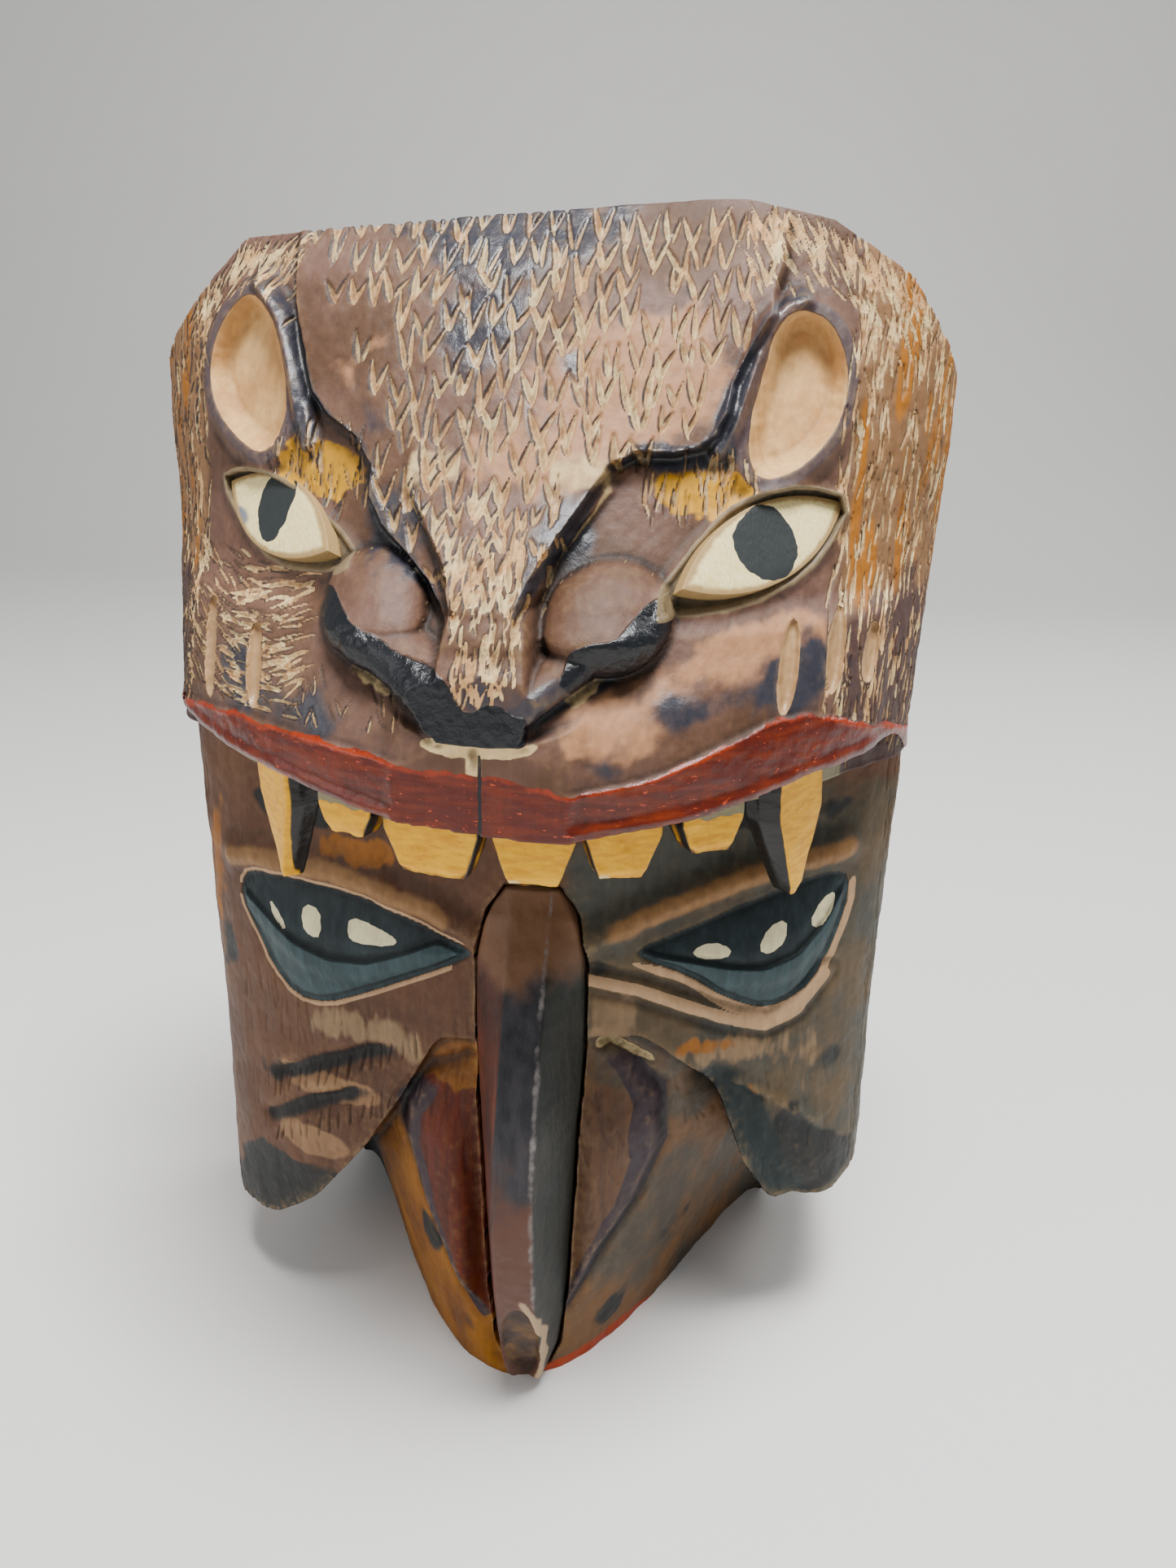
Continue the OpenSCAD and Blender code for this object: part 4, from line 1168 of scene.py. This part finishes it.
def head_paint():
    p = Paint("scorched_carved_wood")
    broad = p.noise(45, 4)
    grain = p.noise(60, 5, (9, 9, 0.7), 0.6)
    pores = p.noise(1400, 3, (2.2, 2.2, 0.35))
    p.base = p.blend(broad, 0.35, 0.68, MAUVE, BROWN)
    p.lay("peach", PEACH, 0.25, 0.8, 0.7, 160)
    p.lay("hair", (0.215, 0.118, 0.062), 0.3, 0.9, 0.6, 200)
    p.lay("orange", ORANGE, 0.3, 0.9, 0.6, 200)
    p.lay("deep", (0.060, 0.030, 0.026), 0.35, 0.8, 0.6, 160)
    p.lay("gold", GOLD, 0.3, 0.7, 0.5, 420)
    slate = p.lay("slate", SLATE, 0.15, 0.95, 0.5, 220)
    p.lay("ear_rim", (0.070, 0.048, 0.050), 0.3, 0.7, 0.5, 300)
    bare = p.lay("bare", p.mix(p.noise(300, 4), TAN, CREAM), 0.35, 0.7, 0.55, 380)
    hollow = p.lay("hollow", p.blend(p.noise(120, 4), 0.35, 0.7, (0.70, 0.46, 0.235), (0.56, 0.33, 0.165)),
                   0.4, 0.6, 0.2, 500)
    p.lay("whisker", (0.46, 0.30, 0.17), 0.4, 0.6, 0.3)
    # painted shadow line beside the steep side of each cut
    p.lay("stroke_shadow", (0.024, 0.014, 0.012), 0.35, 0.8, 0.3)
    fresh = p.blend(p.noise(150, 4), 0.35, 0.65, CREAM, (0.680, 0.420, 0.220))
    cut = p.lay("cut", p.blend(p.noise(420, 3), 0.45, 0.7, fresh, (0.500, 0.285, 0.145)),
                0.30, 0.56, 0.30, 1500)
    black = p.lay("black", BLACK, 0.4, 0.65, 0.3, 500)
    p.lay("lid", p.mix(p.noise(500, 4), (0.120, 0.088, 0.055), (0.230, 0.175, 0.105)),
          0.45, 0.6, 0.25, 700)
    red = p.blend(p.noise(240, 5, (0.4, 0.4, 2.5)), 0.4, 0.65, RED, (0.150, 0.028, 0.014))
    red = p.blend(p.noise(1500, 2, (0.35, 0.35, 1)), 0.66, 0.72, red, PINK)
    red = p.mix(p.worn("lip_edge", 0.35, 0.8, 0.6, 700), red, (0.270, 0.055, 0.035))
    lip = p.lay("lip", red, 0.47, 0.56, 0.10, 1100)
    p.lay("crack", BLACK, 0.4, 0.7, 0.2)
    p.lay("gum", GREY_GREEN, 0.4, 0.6, 0.1)
    raw = p.attribute("raw")
    p.base = p.mix(raw, p.base, p.mix(grain, RAW, (0.30, 0.18, 0.09)))
    shade = p.math("ADD", p.math("MULTIPLY", grain, 0.6), 0.58)
    glossy = p.math("MAXIMUM", slate, p.math("MAXIMUM", black, lip))
    p.base = p.scaled(p.aged(p.base, p.math("MAXIMUM", black, lip)), shade)
    dull = p.math("MAXIMUM", cut, p.math("MAXIMUM", bare, hollow))
    rough = p.math("SUBTRACT", 0.62, p.math("MULTIPLY", glossy, 0.30))
    rough = p.math("ADD", rough, p.math("MULTIPLY", dull, 0.14))
    rough = p.math("ADD", rough, p.math("MULTIPLY", p.math("SUBTRACT", broad, 0.5), 0.3))
    p.bump(p.noise(350, 5), 0.35, 0.0006)
    p.bump(p.math("MULTIPLY", black, p.noise(260, 4)), 0.6, 0.0012)
    p.bump(pores, 0.35, 0.0002)
    return p.finish(p.base, rough, 0.4, 1.15)


def face_paint():
    p = Paint("stained_face_wood")
    broad = p.noise(40, 4)
    streak = p.noise(130, 5, (3.0, 3.0, 0.22), 0.65)
    grain = p.noise(60, 5, (9, 9, 0.6), 0.6)
    p.base = p.blend(broad, 0.35, 0.65, (0.118, 0.060, 0.036), (0.075, 0.036, 0.022))
    p.lay("olive", p.blend(broad, 0.4, 0.62, (0.088, 0.062, 0.036), (0.046, 0.045, 0.036)),
          0.3, 0.75, 0.5, 130)
    p.lay("pale", (0.215, 0.145, 0.088), 0.25, 0.85, 0.7, 200)
    p.lay("warm", (0.270, 0.115, 0.040), 0.3, 0.85, 0.7, 160)
    p.lay("ochre", p.blend(broad, 0.38, 0.62, (0.250, 0.108, 0.030), (0.120, 0.046, 0.017)),
          0.35, 0.7, 0.3, 150)
    p.lay("under", p.blend(broad, 0.40, 0.60, (0.060, 0.048, 0.035), (0.140, 0.074, 0.036)),
          0.35, 0.75, 0.4, 150)
    p.lay("pad", (0.220, 0.130, 0.075), 0.35, 0.75, 0.5, 300)
    # dark: dark patches at the cheek ends, and the painted shade and lip shadow from paint_face
    p.lay("dark", (0.011, 0.012, 0.012), 0.35, 0.75, 0.45, 200)
    p.lay("pit", (0.010, 0.017, 0.017), 0.35, 0.8, 0.4, 250)
    p.lay("wrinkle", (0.022, 0.018, 0.016), 0.4, 0.8, 0.5, 300)
    p.lay("brow", p.mix(p.noise(300, 4), (0.260, 0.150, 0.080), (0.180, 0.100, 0.050)),
          0.35, 0.75, 0.5, 250)
    p.lay("wing_left", p.blend(streak, 0.35, 0.65, (0.110, 0.016, 0.005), (0.050, 0.010, 0.005)),
          0.45, 0.6, 0.1)
    p.lay("wing_right", p.blend(streak, 0.35, 0.65, (0.120, 0.062, 0.034), (0.066, 0.034, 0.022)),
          0.45, 0.6, 0.1)
    p.lay("groove", (0.030, 0.018, 0.024), 0.4, 0.75, 0.25, 200)
    p.lay("bare", CREAM, 0.4, 0.7, 0.4, 500)
    p.base = p.mix(p.math("MULTIPLY", p.worn("cut", 0.4, 0.8, 0.4), 0.5), p.base, (0.330, 0.190, 0.090))
    p.lay("lip_strip", (0.330, 0.052, 0.022), 0.4, 0.6, 0.2, 300)
    outline = p.lay("outline", p.mix(p.noise(300, 4), (0.52, 0.36, 0.23), (0.34, 0.22, 0.14)),
                    0.42, 0.62, 0.25, 500)
    eye = p.lay("eye", p.blend(streak, 0.3, 0.7, (0.012, 0.018, 0.020), (0.018, 0.027, 0.029)),
                0.45, 0.55, 0.06, 900)
    p.lay("lid", p.blend(streak, 0.3, 0.7, (0.026, 0.044, 0.049), (0.038, 0.062, 0.067)),
          0.45, 0.6, 0.1, 600)
    p.lay("line", (0.008, 0.014, 0.016), 0.5, 0.85, 0.15, 700)
    p.lay("spot", (0.72, 0.66, 0.44), 0.42, 0.58, 0.1, 900)
    raw = p.attribute("raw")
    p.base = p.mix(raw, p.base, p.mix(grain, RAW, (0.30, 0.18, 0.09)))
    shade = p.math("ADD", p.math("MULTIPLY", streak, 0.7), 0.65)
    p.base = p.scaled(p.aged(p.base, eye), shade)
    rough = p.math("ADD", 0.42, p.math("MULTIPLY", p.noise(220, 4), 0.28))
    rough = p.math("ADD", rough, p.math("MULTIPLY", p.math("MAXIMUM", raw, outline), 0.2))
    p.bump(p.noise(300, 5, (1, 1, 0.5)), 0.3, 0.0006)
    p.bump(p.noise(1400, 3, (2.2, 2.2, 0.35)), 0.3, 0.0002)
    return p.finish(p.base, rough, 0.25, 1.15)


def beak_paint():
    p = Paint("stained_beak_wood")
    streak = p.noise(110, 5, (3.0, 3.0, 0.25), 0.65)
    broad = p.noise(50, 4)
    p.base = p.blend(streak, 0.3, 0.7, (0.014, 0.014, 0.017), (0.036, 0.033, 0.036))
    p.lay("front_low", (0.085, 0.032, 0.018), 0.3, 0.75, 0.5, 160)
    p.lay("left", p.blend(broad, 0.35, 0.65, (0.105, 0.022, 0.009), (0.038, 0.012, 0.008)),
          0.45, 0.6, 0.1)
    p.lay("right", p.blend(broad, 0.35, 0.65, (0.006, 0.010, 0.008), (0.014, 0.014, 0.010)),
          0.45, 0.6, 0.1)
    p.lay("top", (0.150, 0.072, 0.036), 0.3, 0.8, 0.5, 160)
    # painted highlight: a pale grey line down the ridge corner
    p.lay("edge", (0.19, 0.17, 0.16), 0.5, 0.95, 0.7, 500)
    p.lay("hollow", p.blend(p.noise(90, 3), 0.40, 0.62, (0.150, 0.070, 0.012), (0.030, 0.011, 0.006)),
          0.35, 0.7, 0.3, 300)
    p.lay("worn_rim", (0.40, 0.27, 0.15), 0.4, 0.75, 0.5, 350)
    p.base = p.mix(p.attribute("raw"), p.base, RAW)
    rough = p.math("ADD", 0.33, p.math("MULTIPLY", p.noise(220, 4), 0.28))
    p.bump(p.noise(300, 5, (1, 1, 0.4)), 0.35, 0.0006)
    p.bump(p.noise(1400, 3, (2.2, 2.2, 0.35)), 0.3, 0.0002)
    return p.finish(p.base, rough, 0.25)


def tooth_paint():
    p = Paint("golden_tooth_wood")
    rings = p.noise(90, 4, (2.5, 2.5, 9), 0.6)
    fine = p.noise(900, 4, (1.6, 1.6, 0.4))
    p.base = p.blend(rings, 0.38, 0.66, (0.860, 0.440, 0.050), (0.660, 0.270, 0.020))
    # painted highlights: pale gold flecks spread over the tooth by fine noise
    p.base = p.mix(p.math("MULTIPLY", fine, 0.5), p.base, (0.88, 0.60, 0.20))
    p.lay("chip", (0.78, 0.60, 0.34), 0.4, 0.7, 0.4)
    p.lay("singed", (0.130, 0.055, 0.020), 0.3, 0.8, 0.5, 400)
    p.lay("gum", GREY_GREEN, 0.4, 0.7, 0.4, 500)
    dark = p.lay("dark", (0.012, 0.011, 0.010), 0.4, 0.65, 0.25, 500)
    rough = p.math("SUBTRACT", 0.52, p.math("MULTIPLY", dark, 0.2))
    p.bump(p.noise(260, 4, (1, 1, 2.5)), 0.4, 0.0005)
    p.bump(fine, 0.3, 0.0002)
    return p.finish(p.base, rough, 0.35, 1.25)


def eye_paint():
    p = Paint("pale_eye_wood")
    grain = p.noise(700, 4, (2.8, 2.8, 0.05), 0.55)
    p.base = p.blend(grain, 0.3, 0.7, (0.86, 0.77, 0.50), (0.74, 0.61, 0.34))
    p.lay("smear", (0.17, 0.18, 0.20), 0.35, 0.8, 0.5, 400)
    p.lay("soil", (0.36, 0.26, 0.15), 0.3, 0.9, 0.6, 500)
    p.lay("pupil", p.mix(p.noise(200, 4), (0.011, 0.014, 0.015), (0.019, 0.022, 0.022)),
          0.42, 0.58, 0.14, 900)
    p.bump(grain, 0.35, 0.0004)
    return p.finish(p.base, 0.6, 0.4, 1.3)


def dowel_paint():
    p = Paint("birch_dowel_wood")
    grain = p.noise(140, 5, (3, 3, 0.15), 0.6)
    p.bump(grain, 0.3, 0.0003)
    return p.finish(p.mix(grain, (0.62, 0.43, 0.24), (0.40, 0.25, 0.12)), 0.6)


# ---------------------------------------------------------------- stage and light
def make_stage():
    floor_mesh = bpy.data.meshes.new("floor")
    reach, back, bend, height = 2.5, 1.6, 0.5, 2.6
    profile = [(-reach, 0.0), (back - bend, 0.0)]
    profile += [(back - bend + bend * math.sin(a), bend - bend * math.cos(a))
                for a in np.linspace(0, math.pi / 2, 12)[1:]]
    profile.append((back, height))
    points = [(side * reach, y, z) for y, z in profile for side in (-1, 1)]
    faces = [(2 * k, 2 * k + 1, 2 * k + 3, 2 * k + 2) for k in range(len(profile) - 1)]
    floor_mesh.from_pydata(points, [], faces)
    floor_mesh.polygons.foreach_set("use_smooth", [True] * len(faces))
    paint = Paint("studio_paper")
    paper = paint.mix(paint.noise(3, 2), (0.70, 0.69, 0.67), (0.74, 0.73, 0.71))
    floor_mesh.materials.append(paint.finish(paper, 0.85))
    floor = bpy.data.objects.new("floor", floor_mesh)
    bpy.context.scene.collection.objects.link(floor)


def area_light(name, place, aim, size, power, colour=(1, 1, 1)):
    data = bpy.data.lights.new(name, "AREA")
    data.shape = "RECTANGLE"
    data.size, data.size_y = size
    data.energy = power
    data.color = colour
    light = bpy.data.objects.new(name, data)
    light.location = place
    light.rotation_euler = (Vector(aim) - Vector(place)).to_track_quat("-Z", "Y").to_euler()
    bpy.context.scene.collection.objects.link(light)


def make_light():
    world = bpy.data.worlds.new("studio")
    world.use_nodes = True
    world.node_tree.nodes["Background"].inputs["Color"].default_value = (0.95, 0.97, 1, 1)
    world.node_tree.nodes["Background"].inputs["Strength"].default_value = 0.38
    bpy.context.scene.world = world
    area_light("key", (0.15, -0.22, 1.2), (0, 0, 0.16), (0.45, 0.35), 29)
    area_light("left_fill", (-0.9, -0.7, 0.6), (0, 0, 0.15), (0.8, 0.8), 5.5)
    area_light("rim_light", (0.8, 0.7, 0.9), (0, 0, 0.2), (0.5, 0.5), 6)


# ---------------------------------------------------------------- pieces
def place_piece(piece, slot, *nodes):
    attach(piece, "root")
    if nodes:
        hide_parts(*nodes)


def make_head():
    sheet = Sheet(HEAD_ROWS, head_half, head_height, head_depth)
    shape_head(sheet)
    strokes = head_strokes(sheet)
    paint_head(sheet, strokes)
    quiet = np.maximum.reduce([sheet.masks["lid"], sheet.masks["gum"]])
    keep = 1 - np.clip(quiet, 0, 1)
    relief = -strokes.depth * (sheet.masks["cut"] > 0) * keep
    relief += 0.18 * noise(sheet.s, sheet.z, 5, 51) * keep
    relief -= 0.35 * (1 - scoops(sheet.s, sheet.z, 9, 7, 52)) * keep * (1 - 0.7 * sheet.masks["hair"])
    relief -= 0.12 * (1 - noise(sheet.s, sheet.z, 1.6, 53)) * keep
    carve_fine(sheet, relief)
    find_wear(sheet)
    top = lambda x, y: 0.25 * noise(x, y, 6, 61) - 0.4 * scoops(x, y, 7, 16, 62) ** 2
    piece = block_mesh("carved_animal_head", sheet, True, head_paint(), 90, 110, top)
    bores = [((x, y, JOINT + 10), "Z", DOWEL_BORE, 22) for x, y in DOWELS]
    bores += [((0, STRAP_Y, 275), "Z", CORD_HOLE, 34)]
    bores += [((*tooth_middle(t[1]), JOINT + 5), "Z", TENON_BORE, 12) for t in TEETH]
    cut_bores(piece, bores)
    place_piece(piece, "head_wood", "animal_head")


# ---------------------------------------------------------------- beak
def ring_mesh(name, rings, masks, material):
    """Closed skin over a stack of equal rings, with a fan at each end."""
    rings = np.asarray(rings, float)
    levels, count = rings.shape[:2]
    number = np.arange(levels * count).reshape(levels, count)
    closed = np.hstack([number, number[:, :1]])
    faces = grid_faces(closed)
    points = list(rings.reshape(-1, 3)) + [rings[0].mean(0), rings[-1].mean(0)]
    low, high = levels * count, levels * count + 1
    for k in range(count):
        a, b = int(closed[0, k]), int(closed[0, k + 1])
        faces.append((low, b, a))
        a, b = int(closed[-1, k]), int(closed[-1, k + 1])
        faces.append((high, a, b))
    whole = {key: np.concatenate([np.asarray(v).ravel(), [v[0].mean(), v[-1].mean()]])
             for key, v in masks.items()}
    return build(name, points, faces, whole, material)


def outline_ring(corners, radius, count):
    """A closed polygon of (x, y) corners with rounded corners, as count evenly spaced points."""
    corners = np.asarray(corners, float)
    total = len(corners)
    path = []
    for k in range(total):
        before, here, after = corners[k - 1], corners[k], corners[(k + 1) % total]
        a, b = before - here, after - here
        la, lb = np.linalg.norm(a), np.linalg.norm(b)
        r = min(radius, la * 0.45, lb * 0.45)
        start, end = here + a / la * r, here + b / lb * r
        for t in np.linspace(0, 1, 6):
            path.append(start * (1 - t) ** 2 + here * 2 * t * (1 - t) + end * t * t)
    path = np.array(path + [path[0]])
    run = np.concatenate([[0], np.cumsum(np.hypot(*np.diff(path, axis=0).T))])
    at = np.linspace(0, run[-1], count, endpoint=False)
    return np.stack([np.interp(at, run, path[:, 0]), np.interp(at, run, path[:, 1])], 1)


def make_beak():
    levels, count = ((220, 150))
    zs = np.linspace(BEAK_ROWS[0][0], BEAK_ROWS[-1][0], levels)
    out = curve([(r[0], r[1]) for r in BEAK_ROWS], zs, 4) * BEAK_OUT
    half = curve([(r[0], r[2]) for r in BEAK_ROWS], zs, 3) * BEAK_HALF
    half = np.minimum(half, beak_half(zs))
    rings = []
    for z, o, b in zip(zs, out, half):
        y = BEAK_SEAT - o
        f = min(b * 0.7, 4.6)
        s = max(-24.0, y + 1)
        corners = [(-b, BEAK_SEAT), (b, BEAK_SEAT), (b, s), (f + 0.4, y + 0.2), (-f, y), (-b, s)]
        ring = outline_ring(corners, 0.9, count)
        start = int(np.argmin(np.hypot(ring[:, 0] + b, ring[:, 1] - BEAK_SEAT)))
        rings.append([(BEAK_X + p[0], p[1], z) for p in np.roll(ring, -start, 0)])
    rings = np.array(rings)
    x, y, z = rings[..., 0], rings[..., 1], rings[..., 2]
    u = (x - BEAK_X) / half[:, None]
    f = (np.minimum(half * 0.7, 4.6) / half)[:, None]
    ridge = (BEAK_SEAT - out)[:, None]
    facing = step(BEAK_SEAT - 1.0, BEAK_SEAT - 4.0, y)
    reach = np.hypot((x - BEAK_X - 0.2 + 0.4 * noise(z, x, 5, 174)) / 5.0, (z - 21.0) / 18.5)
    hollow = step(1.1, 0.75, reach) * step(ridge + 7, ridge + 3, y)
    rough = (0.35 * noise(x, z, 8, 171) + 0.18 * noise(x, z, 2.2, 172)
             - 0.35 * (1 - scoops(x + y, z, 8, 18, 173)))
    rings[..., 1] = np.minimum(y - (rough - 0.1) * facing + 2.6 * hollow, BEAK_SEAT)
    left = step(-f + 0.08, -f - 0.02, u) * facing
    right = step(f - 0.02, f + 0.08, u) * facing
    masks = {"left": left, "right": right,
             # edge: a painted highlight, a pale line down the corner between the front and right facets
             "edge": np.exp(-((u - f) / 0.10) ** 2) * facing * step(30, 45, z)
             * (0.7 + 0.3 * noise(x, z, 5, 175)),
             "front_low": step(100, 55, z + 14 * noise(x, z, 12, 176)) * facing,
             "top": step(112, 134, z + 6 * noise(x, z, 9, 177)) * facing,
             "hollow": hollow,
             "worn_rim": np.exp(-((reach - 1.15) / 0.16) ** 2) * step(-1, 3, x - BEAK_X) * facing,
             "raw": 1 - facing}
    masks = {k: v[:, ::-1] for k, v in masks.items()}
    piece = ring_mesh("carved_beak", rings[:, ::-1], masks, beak_paint())
    place_piece(piece, "beak_wood", "nose_beak")


# ---------------------------------------------------------------- teeth
# name, x of the middle, width at the lip, width at the tip, length, lean of the tip
TOOTH_THICK, TOOTH_SET = 7.5, 7.5
TEETH = [("incisor_1", -32.5, 15, 9, 7.0, 0), ("incisor_2", -12.2, 21.5, 14, 12.35, 0.5),
         ("incisor_3", 10, 18, 10.5, 13, 0), ("incisor_4", 28.5, 17, 9.5, 12, -0.5),
         ("incisor_5", 46.5, 15.5, 9.5, 8.6, 0), ("canine_left", -54.5, 18, 4.8, 23.5, 1.0),
         ("canine_right", 65, 19, 5.2, 24, 2.5)]
TENON_RADIUS, TENON_LONG = 2.5, 10.0


def lip_y(x):
    row = [np.interp(JOINT, [r[0] for r in HEAD_BASE], [r[i] for r in HEAD_BASE]) for i in (1, 2, 3)]
    return bow(abs(x) / HALF_W, row[1], row[0], row[2])


def tooth_middle(x):
    """Place of the middle of a tooth, set back square to the lip."""
    turn = math.atan2(lip_y(x + 1) - lip_y(x - 1), 2)
    return x - TOOTH_SET * math.sin(turn), lip_y(x) + TOOTH_SET * math.cos(turn)


def make_tooth(name, x0, wide, narrow, length, lean, material):
    canine = name.startswith("canine")
    levels, count = ((90, 110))
    high = float(np.interp(x0, [p[0] for p in LIP_BOTTOM], [p[1] for p in LIP_BOTTOM])) - JOINT + 1.0
    share = np.linspace(-high / length, 1, levels)
    turn = math.atan2(lip_y(x0 + 1) - lip_y(x0 - 1), 2)
    inward = 1 if x0 < 0 else -1
    fold = 0.82 if x0 < 0 else 0.65
    rings = []
    t = TOOTH_THICK / 2
    for v in share:
        taper = max(v - 0.22, 0) / 0.78
        w = (wide - 0.4) / 2 * (1 - taper) + narrow / 2 * taper
        mid = lean * max(v, 0)
        back = t * (1 - 0.45 * max(v, 0) ** 2)
        if canine:
            ridge = mid + inward * w * fold
            right, left = (0.2, 0.2) if inward > 0 else (0.45, 0.1)
            corners = [(mid - w, back), (mid + w, back), (mid + w, -t * right), (ridge, -t),
                       (mid - w, -t * left)]
        else:
            corners = [(mid - w, back), (mid + w, back), (mid + w * 0.97, -t), (mid - w * 0.97, -t)]
        ring = outline_ring(corners, 0.5 + 0.3 * max(v, 0), count)
        start = int(np.argmin(np.hypot(ring[:, 0] - corners[0][0], ring[:, 1] - corners[0][1])))
        rings.append([(p[0], p[1], -v * length) for p in np.roll(ring, -start, 0)])
    local = np.array(rings)
    u, w, z = local[..., 0].copy(), local[..., 1].copy(), local[..., 2].copy()
    seed = 200 + int(x0 * 3) % 97
    end = step(length - 2.2, length, -z)
    rng = np.random.default_rng(seed)
    slant = rng.uniform(-0.08, 0.08)
    local[..., 2] += end * (slant * u + 0.5 * noise(u, w, 3, seed) + 0.3)
    front = step(0.5, -2.0, w)
    local[..., 1] += 0.25 * noise(u, z, 4, seed + 1) + 0.5 * end * front
    local[..., 0] += 0.2 * noise(w, z, 4, seed + 2)
    half = np.abs(u - u.mean(1, keepdims=True)).max(1, keepdims=True)
    off = (u - u.mean(1, keepdims=True)) / half
    side = step(0.90, 0.99, np.abs(off)) * step(t * 0.9, -t, w)
    if canine:
        ridge = inward * fold
        side = step(ridge - 0.08, ridge + 0.05, off) if inward > 0 else step(ridge + 0.08, ridge - 0.05, off)
    back = step(0, t, w)
    gum = step(1.5, 0.2, -z + 0.8 * noise(u, z, 2, seed + 3))
    masks = {"dark": np.clip(side + back, 0, 1), "gum": gum * (1 - 0.6 * np.clip(side, 0, 1)) * (not canine),
             "singed": np.clip(step(0.75, 1.0, np.abs(off)) * 0.6
                               + end * 0.5 * (name in ("incisor_5", "incisor_2")), 0, 1),
             "chip": (end * step(-0.2, -0.7, off)) if name in ("incisor_3", "incisor_4") else 0 * u}
    # the root tenon goes on up from the crown
    bearing = np.arctan2(local[0, :, 1], local[0, :, 0])
    crown = local[0, :, 2].mean()
    local[0, :, 2] = crown
    tenon = [np.stack([r * np.cos(bearing), r * np.sin(bearing), np.full(count, level)], 1)
             for r, level in ((2.1, TENON_LONG), (TENON_RADIUS, TENON_LONG - 0.6), (TENON_RADIUS, crown))
             if level >= crown]
    local = np.concatenate([tenon, local]) if len(tenon) == 3 else local
    masks = {k: np.concatenate([np.zeros((len(local) - levels, count)), v]) for k, v in masks.items()}
    c, s = math.cos(turn), math.sin(turn)
    a, b = local[..., 0], local[..., 1] + TOOTH_SET
    place = np.stack([x0 + a * c - b * s, lip_y(x0) + a * s + b * c, JOINT + local[..., 2]], -1)
    piece = ring_mesh("carved_" + name, place, masks, material)
    place_piece(piece, "tooth_wood", name)


# ---------------------------------------------------------------- eye plates
EYE_THICK, EYE_TALL = 4.0, 16.0
EYES = [("eye_left", (-49, -21.5, 224.5), (-28, -15, -35), 43,
         [(-8, 9), (1, 9), (4, 3), (4.5, -5), (1, -6.5), (-5, -4), (-8.5, 2)]),
        ("eye_right", (49.5, -23, 222.5), (-28, 18, 39), 49,
         [(-5, 6.5), (3.5, 8.5), (7.5, 4), (7.5, -3), (3, -7.5), (-4, -7.5), (-8.5, -3), (-8.5, 3)])]


def make_eye(name, at, turn, length, pupil, material):
    rings_count, count = ((60, 240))
    radius = (length ** 2 / 4 + EYE_TALL ** 2 / 4) / EYE_TALL
    angle = np.linspace(0, 2 * math.pi, count, endpoint=False)
    u = length / 2 * np.cos(angle)
    v = np.sign(np.sin(angle)) * (np.sqrt(np.maximum(radius ** 2 - u ** 2, 0)) - (radius - EYE_TALL / 2))
    grow = np.concatenate([[0.0], np.linspace(0.02, 1, rings_count)])
    top = [np.stack([u * g, v * g, np.full(count, EYE_THICK)], 1) for g in grow[1:]]
    walls = [np.stack([u, v, np.full(count, EYE_THICK * (1 - k / 6))], 1) for k in range(1, 7)]
    rings = np.array(top + walls)
    a, b, w = rings[..., 0], rings[..., 1], rings[..., 2].copy()
    share = np.concatenate([grow[1:], np.ones(6)])[:, None] * np.ones_like(a)
    rings[..., 2] = np.maximum(0, w + (w > 3.9) * (0.06 * noise(a, b, 2.5, 301) - 0.35 * share ** 6))
    m = (Matrix.Rotation(math.radians(turn[2]), 3, "Z") @ Matrix.Rotation(math.radians(turn[0]), 3, "X")
         @ Matrix.Rotation(math.radians(-turn[1]), 3, "Y") @ Matrix.Rotation(math.radians(90), 3, "X"))
    place = rings @ np.array(m).T + np.array(at)
    spot = inside(a, b, rounded(pupil, 2)) + 0.5 * noise(a, b, 2.2, 302)
    masks = {"pupil": step(-0.4, 0.4, spot) * (w > 3.5), "soil": step(0.75, 1.0, share),
             "smear": np.zeros_like(a) + (hump(a, b, -12, -5, 5, 2.5) if name == "eye_left" else 0)}
    piece = ring_mesh("inlaid_" + name, place[::-1], {k: v[::-1] for k, v in masks.items()}, material)
    place_piece(piece, "eye_wood", name)


make_stage()
make_light()
make_head()
make_face()
make_beak()
tooth_wood, eye_wood = tooth_paint(), eye_paint()
for tooth in TEETH:
    make_tooth(*tooth, tooth_wood)
for eye in EYES:
    make_eye(*eye, eye_wood)
birch = dowel_paint()
for name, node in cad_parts.items():
    if name.startswith("dowel"):
        node.data.materials.clear()
        node.data.materials.append(birch)
